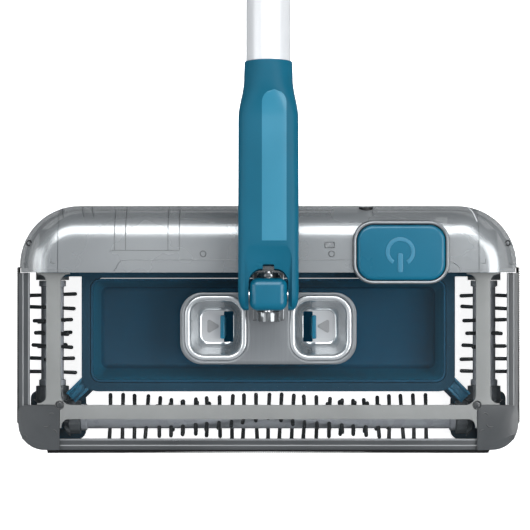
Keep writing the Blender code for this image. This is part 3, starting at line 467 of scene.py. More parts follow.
def make_housing():
    angles = [math.radians(90 * (1 - k / 16)) for k in range(17)]
    outer = [(ROLL_OFF * (1 - math.cos(a)), HOUSING_TOP - ROLL_DROP * (1 - math.sin(a))) for a in angles]
    outer.append((0.0, SKIRT_Z))
    rings = [at_height(housing_outline(inset, HOUSING_FRONT), z) for inset, z in outer]
    for inset, z in reversed(outer):
        low = z if z == SKIRT_Z else z - WALL
        rings.append(at_height(housing_outline(inset + WALL, HOUSING_FRONT + WALL), low))
    shell = loft(rings)
    opening = block((-0.2, 0.0, 0.0), (0.2, HOUSING_FRONT + WALL + GAP, COVER_TOP + GAP))
    middle = CORNER_JOINT - GAP / 2
    x0, x1, y0, y1 = BUTTON
    bezel_hole = rectangle(x0 - 2.9 * MM, x1 + 2.9 * MM, y0 - 2.9 * MM, y1 + 2.9 * MM, BUTTON_R + 2.9 * MM)
    lens_hole = rectangle(36.6 * MM, 43.4 * MM, 52.4 * MM, 56.6 * MM, 1.2 * MM)
    body = booled(
        shell.copy(),
        ("INTERSECT", block((-middle, 0, 0), (middle, 0.1, 0.1))),
        ("DIFFERENCE", opening.copy()),
        ("DIFFERENCE", slab([bezel_hole], 0.03, 0.09)),
        ("DIFFERENCE", rod(5.0 * MM, 0.06, 0.09, "Y", (64.5 * MM, 0, 44 * MM))),
        ("DIFFERENCE", slab([lens_hole], 0.05, 0.07)),
    )
    place("housing_smooth", body, "smoke_plastic", stands_for=("rear_housing",))
    for side, name in ((-1, "rear_corner_left"), (1, "rear_corner_right")):
        near, far = sorted((side * (CORNER_JOINT + GAP / 2), side * 0.2))
        corner = booled(
            shell.copy(),
            ("INTERSECT", block((near, 0, 0), (far, 0.1, 0.1))),
            ("DIFFERENCE", opening.copy()),
        )
        place(name + "_smooth", corner, "smoke_plastic", stands_for=(name,))


def skin(x, y):
    """Height of the rear housing's outer surface over a point."""
    side, back = HEAD_X - REAR_CORNER, HEAD_Y - REAR_CORNER
    if abs(x) > side and y > back:
        inset = REAR_CORNER - math.hypot(abs(x) - side, y - back)
    else:
        inset = min(HEAD_X - abs(x), HEAD_Y - y)
    share = min(1.0, max(0.0, inset / ROLL_OFF))
    return HOUSING_TOP - ROLL_DROP * (1 - math.sin(math.acos(1 - share)))


def bead(points, radius, closed=False):
    """Thin half-sunk bead along 3-D points."""
    curve = bpy.data.curves.new("bead", "CURVE")
    curve.dimensions = "3D"
    curve.bevel_depth = radius
    curve.bevel_resolution = 2
    curve.use_fill_caps = True
    spline = curve.splines.new("POLY")
    spline.points.add(len(points) - 1)
    for point, spot in zip(spline.points, points):
        point.co = (*spot, 1)
    spline.use_cyclic_u = closed
    obj = bpy.data.objects.new("bead", curve)
    bpy.context.scene.collection.objects.link(obj)
    bpy.context.view_layer.update()
    mesh = bpy.data.meshes.new_from_object(obj.evaluated_get(bpy.context.evaluated_depsgraph_get()))
    bpy.data.objects.remove(obj)
    return mesh


def draped(corners, radius, closed=False, steps=14):
    """Bead that follows the housing's skin through (x, y) corners in millimetres."""
    pairs = list(zip(corners, corners[1:] + corners[:1])) if closed else list(zip(corners, corners[1:]))
    points = []
    for start, end in pairs:
        for k in range(steps):
            x, y = [(a + (b - a) * k / steps) * MM for a, b in zip(start, end)]
            points.append((x, y, skin(x, y)))
    if not closed:
        x, y = [v * MM for v in corners[-1]]
        points.append((x, y, skin(x, y)))
    return bead(points, radius, closed)


def ring_corners(x, y, radius, count=20):
    turns = [2 * math.pi * k / count for k in range(count)]
    return [(x + radius * math.cos(a), y + radius * math.sin(a)) for a in turns]


def make_housing_marks():
    """Fold line, rib lines and screw rings on the rear housing, and a painted glint along a joint."""
    fold = [(-101.0, 37.6), (-99.5, 39.5), (-97.8, 43.0), (-95.5, 44.4), (-92.0, 44.8), (-20.0, 44.8)]
    right = [(20.0, 44.8), (53.5, 44.8)]
    end = [(119.4, 43.4), (122.0, 42.4), (124.4, 40.4), (125.8, 37.6)]
    place("fold_lines", joined([draped(line, 0.22 * MM) for line in (fold, right, end)]), "fold_grey",
          slot="smoke_plastic")
    ribs = [[(x, 78.5), (x, 72.0), (x, 51.0)] for x in (-100.5, -93.3, -65.6, -58.2)]
    ribs += [[(x - 2.0, 79.6), (x, 72.5)] for x in (-134.5, -121.0, -114.5)]
    ribs += [[(-104.0, 50.5), (-100.5, 51.0), (-58.2, 51.0)]]
    hooks = []
    for s in (-1, 1):
        hooks.append([(s * 142.0, 45.5), (s * 142.0, 42.6), (s * 139.4, 42.6)])
        hooks.append([(s * 160.5, 42.0), (s * 158.5, 42.0)])
    place("rib_lines", joined([draped(line, 0.22 * MM) for line in ribs + hooks]), "line_grey",
          slot="smoke_plastic")
    rings = [draped(ring_corners(x, 48.7, 1.9), 0.26 * MM, True, 2) for x in (-42.7, 41.3)]
    rings += [draped(ring_corners(x, 55.8, 1.7), 0.5 * MM, True, 2) for x in (-157.6, 157.6)]
    place("screw_rings", joined(rings), "ring_dark", slot="smoke_plastic")
    # Pale line by the right rear joint: a painted highlight.
    light = draped([(132.4, 79.4), (134.8, 76.0), (136.8, 70.0)], 0.3 * MM)
    place("joint_glint", light, "painted_glint_pale", slot="smoke_plastic")


def make_flange_highlights():
    """Pale beads along the outer wall's flange, cut off where the housing begins; they are painted highlights
    along the flange's edges.
    """
    shells = []
    for inset, width, rise in ((2.5, 0.7, 0.22), (6.2, 1.0, 0.18)):
        rings = []
        for d, z in ((0.0, -0.2), (0.0, rise * 0.5), (width / 2, rise), (width, rise * 0.5), (width, -0.2)):
            rings.append(at_height(head_outline((inset + d) * MM), COVER_TOP + z * MM))
        ring = loft(rings, capped=False)
        shells.append(booled(ring, ("DIFFERENCE", block((-0.2, HOUSING_FRONT - GAP, 0), (0.2, 0.1, 0.1)))))
    # The pale colour is a painted highlight on the wall's top edge and the flange's inner edge.
    place("flange_beads", joined(shells), "flange_highlight_pale", slot="dark_grey_plastic")


def make_cap_marks():
    """Moulded arcs and a shallow ring on each front corner cap."""
    shells = []
    arcs = ((143.0, -58.5, 2.2, 0.2), (146.5, -63.0, 2.6, 3.4), (141.5, -69.5, 2.0, 1.2))
    rings = ((ring_corners(160.8, -72.4, 1.5), 0.3), (ring_corners(137.7, -51.0, 2.75), 0.32))
    for s in (-1, 1):

        def on_cap(corners):
            return [(s * x * MM, y * MM, RAISED_Z[1]) for x, y in corners]

        for x, y, radius, start in arcs:
            turns = [start + 1.9 * k / 10 for k in range(11)]
            arc = [(x + radius * math.cos(a), y + radius * math.sin(a)) for a in turns]
            shells.append(bead(on_cap(arc), 0.34 * MM))
        for corners, radius in rings:
            shells.append(bead(on_cap(corners), radius * MM, True))
    place("cap_marks", joined(shells), "ring_dark", slot="dark_grey_plastic")


def make_struts():
    """Channelled struts from the chassis ring's front corners towards the mitre gears."""
    for s in (-1, 1):
        run = block((-2.0 * MM, -4.5 * MM, 25.6 * MM), (14.5 * MM, 4.5 * MM, 26.8 * MM))
        rails = []
        for y in (-4.5, 2.8):
            rails.append(block((-2.0 * MM, y * MM, 25.6 * MM), (14.5 * MM, (y + 1.7) * MM, 29.6 * MM)))
        shape = softened(joined([run, *rails]), 0.3 * MM, 2)
        turn = Matrix.Rotation(math.radians(-135 if s < 0 else -45), 4, "Z")
        shape.transform(Matrix.Translation((s * 121.6 * MM, -37.0 * MM, 0)) @ turn)
        place("strut_" + side_name(s), shape, "strut_teal", slot="dark_teal_plastic")


def make_button():
    """Soft-edged power button with a raised, generic on-off mark."""
    x0, x1, y0, y1 = BUTTON
    rings = [at_height(rectangle(x0, x1, y0, y1, BUTTON_R), 58.5 * MM)]
    for k in range(9):
        turn = math.radians(90 * k / 8)
        inset = 2.6 * MM * (1 - math.cos(turn))
        z = 64.0 * MM + 2.3 * MM * math.sin(turn)
        edge = rectangle(x0 + inset, x1 - inset, y0 + inset, y1 - inset, BUTTON_R - inset)
        rings.append(at_height(edge, z))
    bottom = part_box("power_button")[0].z
    stem = rod(3.0 * MM, bottom, 60 * MM, "Z", (86.5 * MM, 49.5 * MM, 0))
    place("button_cap", joined([loft(rings), stem]), "teal_plastic", "button", stands_for=("power_button",))
    centre = Vector((86.0 * MM, 50.0 * MM))
    arc = []
    opening = math.radians(34)
    for radius, order in ((9.6 * MM, 1), (7.0 * MM, -1)):
        turns = [-math.pi / 2 + opening + (2 * math.pi - 2 * opening) * k / 40 for k in range(41)]
        arc += [centre + Vector((math.cos(a), math.sin(a))) * radius for a in turns[::order]]
    stroke = rectangle(84.35 * MM, 87.65 * MM, 36.6 * MM, 49.0 * MM, 0.8 * MM)
    mark, bar = [slab([outline], 66.0 * MM, 66.7 * MM, 0.25 * MM) for outline in (arc, stroke)]
    place("button_mark", joined([mark, bar]), "mark_teal", "button", slot="teal_plastic")


def make_bezel():
    x0, x1, y0, y1 = BUTTON
    outer = 2.6 * MM
    profile = [(GAP, 54.1), (GAP, 63.9), (0.7 * MM, 64.9), (1.5 * MM, 65.2), (2.2 * MM, 64.9), (outer, 64.0),
               (outer, 54.1)]
    rings = []
    for grow, z in profile:
        edge = rectangle(x0 - grow, x1 + grow, y0 - grow, y1 + grow, BUTTON_R + grow)
        rings.append(at_height(edge, z * MM))
    place("bezel_ring", loft(rings, capped=False), "silver_plastic", stands_for=("button_bezel",))


# ---------------------------------------------------------------- top frame and grip plate


def make_top_frame():
    """Side ribs and front bar in one, with flared junctions, and the two corner caps."""
    rear = HOUSING_FRONT - GAP
    joint = CORNER_JOINT - GAP / 2
    step = BAR_Y[1] + GAP
    flare = 6.0 * MM
    lip = 0.9 * MM
    right = [
        (joint - lip, BAR_Y[0], 5.0 * MM),
        (joint - lip, BAR_Y[0] - flare, 0),
        (joint, BAR_Y[0] - flare, 0),
        (joint, step, 0),
        (RIB_X[1] + flare, step, 0),
        (RIB_X[1] + flare, step + lip, 0),
        (RIB_X[1], step + lip, 5.0 * MM),
        (RIB_X[1], rear - lip, 5.0 * MM),
        (RIB_X[1] + flare, rear - lip, 0),
        (RIB_X[1] + flare, rear, 0),
        (RIB_X[0] - flare, rear, 0),
        (RIB_X[0] - flare, rear - lip, 0),
        (RIB_X[0], rear - lip, 5.0 * MM),
        (RIB_X[0], BAR_Y[1], 7.0 * MM),
    ]
    left = [(-x, y, radius) for x, y, radius in reversed(right)]
    screw_holes = [rod(2.5 * MM, 45.8 * MM, 60 * MM, "Z", (s * CORNER_JOINT, BAR_Y[1], 0)) for s in (-1, 1)]
    bar = softened(slab([rounded(right + left, 10)], *RAISED_Z), 0.45 * MM)
    bar = booled(bar, *[("DIFFERENCE", hole.copy()) for hole in screw_holes])
    place("frame_bars", bar, "grey_plastic", stands_for=("top_frame",))
    for side, name, hole in zip((-1, 1), ("front_corner_left", "front_corner_right"), screw_holes):
        inner, outer = side * (CORNER_JOINT + GAP / 2), side * HEAD_X
        edge = [(inner, -HEAD_Y, 0), (outer, -HEAD_Y, FRONT_CORNER)]
        edge += [(outer, BAR_Y[1], 5.0 * MM), (inner, BAR_Y[1], 0)]
        if side < 0:
            edge.reverse()
        cap = softened(slab([rounded(edge, 14)], *RAISED_Z), 0.6 * MM)
        cap = booled(cap, ("DIFFERENCE", hole.copy()), ("DIFFERENCE", dimple(side * 160.8 * MM, -72.4 * MM)))
        place(name + "_cap", cap, "dark_grey_plastic", stands_for=(name,))
        seat = (side * CORNER_JOINT, BAR_Y[1], 0)
        place("screw_" + name[13:], screw_head(2.2 * MM, seat, 46.9 * MM, 45.9 * MM), "dark_grey_plastic",
              stands_for=("frame_screw_" + name[13:],))


def dimple(x, y):
    return rod(1.5 * MM, RAISED_Z[1] - 0.3 * MM, 60 * MM, "Z", (x, y, 0), 24)


def screw_head(radius, at, top, low):
    """Low domed screw head with a cross recess."""
    profile = [(0, low), (radius, low), (radius, top - 0.35 * MM), (radius * 0.8, top - 0.08 * MM), (0, top)]
    dome = turned(profile, "Z", at, 32)
    arm = radius * 0.6
    cuts = []
    for wide, deep in ((arm, 0.3 * MM), (0.3 * MM, arm)):
        spot = Vector(at)
        low_corner = (spot.x - wide, spot.y - deep, top - 0.6 * MM)
        tool = block(low_corner, (spot.x + wide, spot.y + deep, top + 1 * MM))
        cuts.append(("DIFFERENCE", tool))
    return booled(dome, *cuts)


def make_skirt():
    """Outer wall with its inward flange."""
    outer = head_outline(0)
    body = softened(slab([outer], SKIRT_Z, COVER_TOP), 0.8 * MM, 4)
    body = booled(
        body,
        ("DIFFERENCE", slab([head_outline(WALL)], 0, COVER_TOP - WALL)),
        ("DIFFERENCE", slab([head_outline(FLANGE)], 0, COVER_TOP + WALL)),
        ("DIFFERENCE", block((-0.2, HOUSING_FRONT - GAP, 0), (0.2, 0.1, 0.1))),
    )
    place("skirt", body, "dark_grey_plastic", stands_for=("outer_frame",))


def head_outline(inset, segments=14):
    x, y = HEAD_X - inset, HEAD_Y - inset
    front, rear = FRONT_CORNER - inset, REAR_CORNER - inset
    return rounded([(-x, -y, front), (x, -y, front), (x, y, rear), (-x, y, rear)], segments)


def cup_ring(side, share, z, grow=0.0):
    """Ring of a finger cup: share 0 is its rim, 1 its floor."""
    xs = [a + (b - a) * share + grow * s for a, b, s in zip(CUP_X, CUP_FLOOR_X, (-1, 1))]
    ys = [a + (b - a) * share + grow * s for a, b, s in zip(CUP_Y, CUP_FLOOR_Y, (-1, 1))]
    x0, x1 = sorted(side * x for x in xs)
    return at_height(rectangle(x0, x1, ys[0], ys[1], 9.2 * MM - 4.0 * MM * share + grow, 10), z)


def make_plate():
    """Brushed plate; each finger cup is a bright bowl with a raised rim, a flat floor and a slot."""
    holes = [[Vector(p[:2]) for p in cup_ring(side, 0.0, 0.0, 3.5 * MM)] for side in (-1, 1)]
    plate = slab([rectangle(-PLATE_X, PLATE_X, *PLATE_Y, 14.5 * MM, 14), *holes], *PLATE_Z, 0.5 * MM)
    place("grip_top", plate, "silver_plastic", stands_for=("grip_plate",))
    depth = PLATE_Z[1] - CUP_FLOOR_Z
    wall = 1.2 * MM
    lip = [(3.35, -1.6), (3.35, -0.1), (3.15, 0.25), (2.7, 0.45), (1.2, 0.45), (0.55, 0.25), (0.15, -0.2)]
    for side in (-1, 1):
        name = side_name(side)
        rings = [cup_ring(side, 0.0, PLATE_Z[1] + rise * MM, grow * MM) for grow, rise in lip]
        for k in range(1, 17):
            t = k / 16
            fall = (1 - math.cos(math.pi * t)) / 2
            rings.append(cup_ring(side, t**1.25, PLATE_Z[1] - 0.2 * MM - (depth - 0.2 * MM) * fall**0.75))
        rings.append(cup_ring(side, 1.0, CUP_FLOOR_Z - wall))
        rings.append(cup_ring(side, 0.5, CUP_FLOOR_Z + 0.1 * depth, wall))
        rings.append(cup_ring(side, 0.1, CUP_FLOOR_Z + 0.6 * depth, wall))
        slot = slab([slot_outline(side)], CUP_FLOOR_Z - 10 * MM, CUP_FLOOR_Z + 3 * MM)
        bowl = booled(loft(rings, capped=False), ("DIFFERENCE", slot.copy()))
        outline = [Vector(p[:2]) for p in cup_ring(side, 1.0, 0.0, 0.2 * MM)]
        floor = slab([outline], CUP_FLOOR_Z - wall, CUP_FLOOR_Z)
        floor = booled(floor, ("DIFFERENCE", slot))
        place("cup_" + name, bowl, "cup_silver", slot="silver_plastic", smooth=50)
        place("cup_floor_" + name, floor, "cup_floor", slot="silver_plastic")
        bead = []
        for grow, z in ((4.5, -0.2), (4.5, 0.12), (4.8, 0.22), (5.1, 0.12), (5.1, -0.2)):
            bead.append(cup_ring(side, 0.0, PLATE_Z[1] + z * MM, grow * MM))
        place("cup_bead_" + name, loft(bead, capped=False), "silver_plastic")
        arrow = slab([arrow_outline(side)], CUP_FLOOR_Z, CUP_FLOOR_Z + 0.3 * MM, 0.12 * MM)
        place("arrow_" + name, arrow, "arrow_grey", slot="silver_plastic")


def side_name(side):
    return "left" if side < 0 else "right"


def slot_outline(side):
    x0, x1 = sorted((side * 23.3 * MM, side * 29.6 * MM))
    return rectangle(x0, x1, -9.8 * MM, 10.6 * MM, 0.8 * MM)


def arrow_outline(side):
    """Rounded triangle that points towards the middle of the plate."""
    tip, back = side * 31.8 * MM, side * 40.6 * MM
    corners = [(tip, 0.6 * MM, 1.2 * MM), (back, 5.8 * MM, 1.2 * MM), (back, -4.6 * MM, 1.2 * MM)]
    if side > 0:
        corners.reverse()
    return rounded(corners)


# ---------------------------------------------------------------- handle


def yoke_ring(y, half_width, half_height, square, count=72):
    """A section across the handle: a circle when square is 1, and boxier below it."""
    points = []
    for k in range(count):
        angle = 2 * math.pi * (k + 0.5) / count
        c, s = math.cos(angle), math.sin(angle)
        x = math.copysign(abs(c) ** square, c) * half_width
        z = math.copysign(abs(s) ** square, s) * half_height
        points.append(Vector((x, y, z)))
    return points


def eased(table, y):
    """Value at y through (y, value, ...) rows, with soft steps between them."""
    for low, high in zip(table, table[1:]):
        if y <= high[0]:
            t = (y - low[0]) / (high[0] - low[0])
            t = t * t * (3 - 2 * t)
            return [a + (b - a) * t for a, b in zip(low[1:], high[1:])]
    return list(table[-1][1:])


YOKE_TABLE = [
    (0, 19.5 * MM, 9.8 * MM, 0.42),
    (40 * MM, 19.5 * MM, 10.3 * MM, 0.42),
    (114 * MM, 19.4 * MM, 11.6 * MM, 0.5),
    (140 * MM, 15.8 * MM, 15.2 * MM, 0.95),
    (151 * MM, 15.5 * MM, 15.5 * MM, 1.0),
]


def make_yoke():
    tip = 9.8 * MM
    rings = []
    for k in range(1, 15):
        a = math.cos(math.pi / 2 * k / 15)
        round_off = 1 - math.sqrt(1 - a * a)
        rings.append(yoke_ring(-a * tip, 19.5 * MM - 4.5 * MM * round_off, tip * math.sqrt(1 - a * a), 0.42))
    for k in range(57):
        y = 151 * MM * k / 56
        rings.append(yoke_ring(y, *eased(YOKE_TABLE, y)))
    slot = rounded([(-12.7 * MM, -0.03, 0), (12.7 * MM, -0.03, 0), (12.7 * MM, 16.6 * MM, 8.5 * MM),
                    (-12.7 * MM, 16.6 * MM, 8.5 * MM)], 12)
    notch = rectangle(-3.7 * MM, 3.7 * MM, 0.0, 19.4 * MM, 0.8 * MM)
    scoop = slab([rounded([(-15 * MM, -20 * MM, 0), (15 * MM, -20 * MM, 0), (15 * MM, 36.0 * MM, 13.5 * MM),
                           (-15 * MM, 36.0 * MM, 13.5 * MM)], 14)], 0, 0.02)
    scoop.transform(Matrix.Translation((0, 0, 5.4 * MM)) @ Matrix.Rotation(math.radians(8.5), 4, "X"))
    body = booled(
        loft(rings),
        ("DIFFERENCE", slab([slot], -0.03, 0.03)),
        ("DIFFERENCE", slab([notch], -0.03, 0.03)),
        ("DIFFERENCE", scoop),
        ("DIFFERENCE", rod(HANDLE_R + GAP / 2, 142 * MM, 0.16, "Y", segments=64)),
        ("DIFFERENCE", rod(4.0 * MM + GAP, -0.03, 0.03, "X")),
    )
    place("yoke_smooth", softened(body, 0.7 * MM, 3, 40), "yoke_teal", "handle", ALONG_HANDLE, "teal_plastic",
          stands_for=("yoke",), smooth=40)


def yoke_top(x, y):
    """Height of the yoke's upper skin above its middle, at x across and y along it."""
    half_width, half_height, square = eased(YOKE_TABLE, y)
    c = min(1.0, abs(x) / half_width) ** (1 / square)
    return half_height * math.sqrt(max(0.0, 1 - c * c)) ** square


def make_yoke_highlight():
    """Flat facet that runs along the yoke's top, with an arched end, in a lighter teal that is a painted
    highlight.
    """
    x0, x1, y0, y1 = -4.2 * MM, 11.6 * MM, 34.5 * MM, 131.5 * MM
    middle, half = (x0 + x1) / 2, (x1 - x0) / 2
    rows = []
    for k in range(65):
        y = y0 + (y1 - y0) * k / 64
        reach = half
        if y > y1 - half:
            reach = max(0.2 * MM, math.sqrt(max(0.0, half**2 - (y - (y1 - half)) ** 2)))
        rows.append((y, middle - reach, middle + reach))
    rings = []
    for y, left, right in rows:
        xs = [left + (right - left) * k / 12 for k in range(13)]
        crown = [0.16 * MM - 0.12 * MM * (2 * k / 12 - 1) ** 6 for k in range(13)]
        upper = [Vector((x, y, yoke_top(x, y) + rise)) for x, rise in zip(xs, crown)]
        lower = [Vector((x, y, yoke_top(x, y) - 0.5 * MM)) for x in reversed(xs)]
        rings.append(upper + lower)
    place("yoke_facet", loft(rings), "yoke_highlight_teal", "handle", ALONG_HANDLE, slot="teal_plastic")


def tube(name, low, high, radius, look, stands_for):
    """Hollow tube along the handle, with rounded lips."""
    bore = radius - 1.4 * MM
    lip = 0.35 * MM
    profile = [(radius - lip, high), (radius, high - lip), (radius, low + lip), (radius - lip, low)]
    profile += [(bore, low), (bore, high)]
    place(name, turned(profile, "Y", steps=96), look, "handle", ALONG_HANDLE, stands_for=stands_for)


def make_handle():
    for name in ("lower_tube", "upper_tube"):
        low, high = ends_along(name)
        tube(name + "_round", low, high, HANDLE_R, "handle_tube", (name,))
    low, high = ends_along("tube_sleeve")
    outer, inner = HANDLE_R + 1.6 * MM, HANDLE_R + GAP / 2
    profile = [(outer - 0.6 * MM, high), (outer - 0.1 * MM, high - 0.8 * MM), (outer, high - 2 * MM)]
    profile += [(outer, low + 2 * MM), (outer - 0.1 * MM, low + 0.8 * MM), (outer - 0.6 * MM, low)]
    profile += [(inner, low), (inner, high)]
    place("sleeve_round", turned(profile, "Y", steps=96), "teal_plastic", "handle", ALONG_HANDLE,
          stands_for=("tube_sleeve",))


def ends_along(name):
    """Where a node starts and ends along the handle, from its corners turned back."""
    solid = frame["nodes"][name]
    back = ALONG_HANDLE.inverted()
    spots = [(back @ vertex.co).y for vertex in solid.data.vertices]
    return min(spots), max(spots)


def make_grip():
    """Soft grip with fine rings, and a rounded end."""
    low, high = ends_along("grip")
    profile = [(GRIP_R - 1.2 * MM, low), (GRIP_R - 0.3 * MM, low + 0.5 * MM), (GRIP_R, low + 1.5 * MM)]
    y = low + 8 * MM
    while y < high - 14 * MM:
        profile += [(GRIP_R, y), (GRIP_R - 0.35 * MM, y + 0.35 * MM), (GRIP_R - 0.35 * MM, y + 0.9 * MM),
                    (GRIP_R, y + 1.25 * MM)]
        y += 4.2 * MM
    profile += [(GRIP_R, high - 3 * MM), (GRIP_R - 0.5 * MM, high - 1.2 * MM)]
    profile += [(GRIP_R - 2 * MM, high - 0.2 * MM), (0, high)]
    profile.insert(0, (0, low))
    place("grip_ringed", turned(profile, "Y", steps=64), "black_rubber", "handle", ALONG_HANDLE,
          stands_for=("grip",))


def make_knuckle():
    swivel_z = joints["handle_swivel"]["pos_m"][2]
    half = 12.1 * MM
    y0, y1 = 12.2 * MM, 33.0 * MM
    low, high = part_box("knuckle")
    body = block((-half, y0, low.z), (half, y1, high.z))
    body = softened(body, 5.2 * MM, 12)
    body = booled(body, ("DIFFERENCE", rod(2.95 * MM + GAP, -0.01, 0.06, "Y", (0, 0, swivel_z))),
                  ("DIFFERENCE", rod(4.0 * MM + GAP, -0.03, 0.03, "X", (0, 22 * MM, PITCH.z))))
    place("knuckle_smooth", body, "teal_plastic", "knuckle", stands_for=("knuckle",), smooth=40)


def make_bracket():
    swivel_z = joints["handle_swivel"]["pos_m"][2]
    base = softened(block((-10.5 * MM, 4.8 * MM, 47.2 * MM), (10.5 * MM, 36.1 * MM, 50.0 * MM)), 0.7 * MM)
    parts = [base]
    for y0, y1 in ((4.8 * MM, 10.9 * MM), (33.3 * MM, 36.1 * MM)):
        lug = [(-7.5 * MM, 48.2 * MM, 0), (7.5 * MM, 48.2 * MM, 0), (7.5 * MM, swivel_z + 7.5 * MM, 7.4 * MM),
               (-7.5 * MM, swivel_z + 7.5 * MM, 7.4 * MM)]
        ear = softened(slab([rounded(lug, 14)], -y1, -y0), 0.7 * MM)
        ear.transform(Matrix.Rotation(math.pi / 2, 4, "X"))
        ear = booled(ear, ("DIFFERENCE", rod(2.95 * MM + GAP, -0.01, 0.06, "Y", (0, 0, swivel_z))))
        parts.append(ear)
    place("bracket_smooth", joined(parts), "bracket_smoke", slot="smoke_plastic",
          stands_for=("swivel_bracket",))


# ---------------------------------------------------------------- underside and stage


def make_tray():
    """Smooth dust tray: softened rim, sloping walls and a rounded floor, with a lighter skin over the upper walls
    that is painted light.
    """
    x, front, rear = 118.4 * MM, -36.8 * MM, 32.4 * MM
    top = 30.0 * MM
    floor = 4.8 * MM

    def ring(inset, front_inset, z, radius):
        return at_height(rectangle(-x + inset, x - inset, front + front_inset, rear - inset, radius, 12), z)

    rings = [ring(6 * MM, 9 * MM, 3 * MM, 5 * MM), ring(5 * MM, 8 * MM, 3.2 * MM, 5 * MM)]
    rings += [ring(0.0, 0.0, 26 * MM, 6.7 * MM), ring(0.0, 0.0, top - 0.5 * MM, 6.7 * MM)]
    rings += [ring(0.3 * MM, 0.3 * MM, top, 6.5 * MM), ring(1.5 * MM, 1.5 * MM, top, 5.6 * MM)]

    def wall(k, gap=0.0):
        t = k / 12
        sink = math.sin(t * math.pi / 2) ** 1.3
        return ring((1.6 + 6.0 * t) * MM + gap, (1.6 + 10.0 * t) * MM + gap, top - (top - floor) * sink + gap,
                    (5.5 - 1.5 * t) * MM)

    rings += [wall(k) for k in range(1, 13)]
    place("tray_smooth", loft(rings), "dark_teal_plastic", "tray", stands_for=("dust_tray",))
    # A lighter skin just over the upper walls paints them brighter than the floor: painted light.
    walls = [wall(k, 0.12 * MM) for k in range(9)]
    place("tray_walls", loft(walls, capped=False), "tray_wall_painted_light_teal", "tray", slot="dark_teal_plastic")


def roller(name, axis, at, low, high, body):
    """Tube with a collar at each end, on its shaft, along an axis."""
    flange = 4.0 * MM
    edge = 0.4 * MM
    inner, outer = low + flange, high - flange

    def collar(start, end):
        rim = 9.0 * MM
        return [(rim - edge, start), (rim, start + edge), (rim, end - edge), (rim - edge, end)]

    profile = [(0, low)] + collar(low, inner)
    profile += [(TUBE_R + 0.4 * MM, inner), (TUBE_R, inner + 0.5 * MM), (TUBE_R, outer - 0.5 * MM),
                (TUBE_R + 0.4 * MM, outer)]
    profile += collar(outer, high) + [(0, high)]
    shell = turned(profile, axis, at, 64)
    solid = frame["nodes"][name]
    ends = [v.co.x if axis == "X" else v.co.y - HEAD.y for v in solid.data.vertices]
    shaft = rod(3.0 * MM, min(ends), max(ends), axis, at, 32)
    place(name + "_smooth", joined([shell, shaft]), "roller_tube", body, stands_for=(name,))


def make_rollers():
    """Two long rollers at the front and rear, and two short ones at the sides."""
    long_end = 125.7 * MM
    short_ends = (-39.5 * MM, 31.0 * MM)
    for end, y in (("front", FRONT_ROLLER_Y), ("rear", REAR_ROLLER_Y)):
        roller(end + "_roller", "X", (0, y, ROLLER_Z), -long_end, long_end, end + "_brush")
    for side in (-1, 1):
        name = side_name(side)
        roller(name + "_roller", "Y", (side * ROLLER_X, 0, ROLLER_Z), *short_ends, name + "_brush")


def make_bumpers():
    """Ribbed strips: fine upright ribs stand on a backing."""
    low_z, high_z = 29.0 * MM, 41.0 * MM
    strips = []
    for side in (-1, 1):
        near, back, far = [side * (HEAD_X + d * MM) for d in (0.3, 0.9, 1.7)]
        x0, x1 = sorted((near, back))
        shells = [block((x0, -63.5 * MM, low_z), (x1, 40.0 * MM, high_z))]
        for k in range(86):
            y = (-63.0 + 1.2 * k) * MM
            shells.append(rib((back - side * 0.2 * MM, far), (y, y + 0.7 * MM), low_z, high_z))
        strips.append(("bumper_" + side_name(side), shells))
    near, back, far = [-HEAD_Y - d * MM for d in (0.3, 1.4, 2.6)]
    shells = [block((-146.5 * MM, back, low_z), (146.5 * MM, near, high_z))]
    for k in range(244):
        x = (-146.3 + 1.2 * k) * MM
        shells.append(rib((x, x + 0.7 * MM), (back + 0.2 * MM, far), low_z, high_z))
    strips.append(("bumper_front", shells))
    for name, shells in strips:
        place(name + "_ribbed", joined(shells), "black_rubber", stands_for=(name,))


def rib(xs, ys, low_z, high_z):
    """Upright rib with blunted ends."""
    x0, x1 = sorted(xs)
    y0, y1 = sorted(ys)
    rings = []
    for inset, z in ((0.2, low_z), (0.0, low_z + 0.5 * MM), (0.0, high_z - 0.5 * MM), (0.2, high_z)):
        d = inset * MM
        corners = ((x0 + d, y0 + d), (x1 - d, y0 + d), (x1 - d, y1 - d), (x0 + d, y1 - d))
        rings.append([Vector((x, y, z)) for x, y in corners])
    return loft(rings)


def make_cover():
    """Clear window plate with softened rims, in one piece."""
    x = HEAD_X - FLANGE - GAP
    front = -HEAD_Y + FLANGE + GAP
    radius = FRONT_CORNER - FLANGE
    rear = HOUSING_FRONT - GAP
    edge = rounded([(-x, front, radius), (x, front, radius), (x, rear, 0), (-x, rear, 0)], 14)
    holes = [[Vector(p[:2]) for p in cup_ring(side, 0.0, 0.0, 1.9 * MM)] for side in (-1, 1)]
    place("cover_clear", slab([edge, *holes], COVER_TOP - 2 * MM, COVER_TOP, 0.15 * MM), "clear_plastic",
          stands_for=("clear_cover",))


def make_tabs():
    for side in (-1, 1):
        x0, x1 = sorted((side * 28.8 * MM, side * 31.9 * MM))
        f0, f1 = sorted((side * 28.0 * MM, side * 35.5 * MM))
        blade = softened(block((x0, -7.6 * MM, 22.0 * MM), (x1, 8.0 * MM, 37.0 * MM)), 0.9 * MM, 4)
        foot = softened(block((f0, -6.0 * MM, 20.0 * MM), (f1, 6.4 * MM, 23.0 * MM)), 0.4 * MM)
        name = "release_tab_" + side_name(side)
        place(name + "_soft", joined([blade, foot]), "teal_plastic", "tab_" + side_name(side),
              stands_for=(name,))


def make_lens():
    solid_low, solid_high = [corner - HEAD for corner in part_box("indicator_lens")]
    outline = rectangle(solid_low.x, solid_high.x, solid_low.y, solid_high.y, 1.0 * MM)
    place("lens_soft", slab([outline], solid_low.z, solid_high.z, 0.4 * MM), "indicator_lens",
          stands_for=("indicator_lens",))


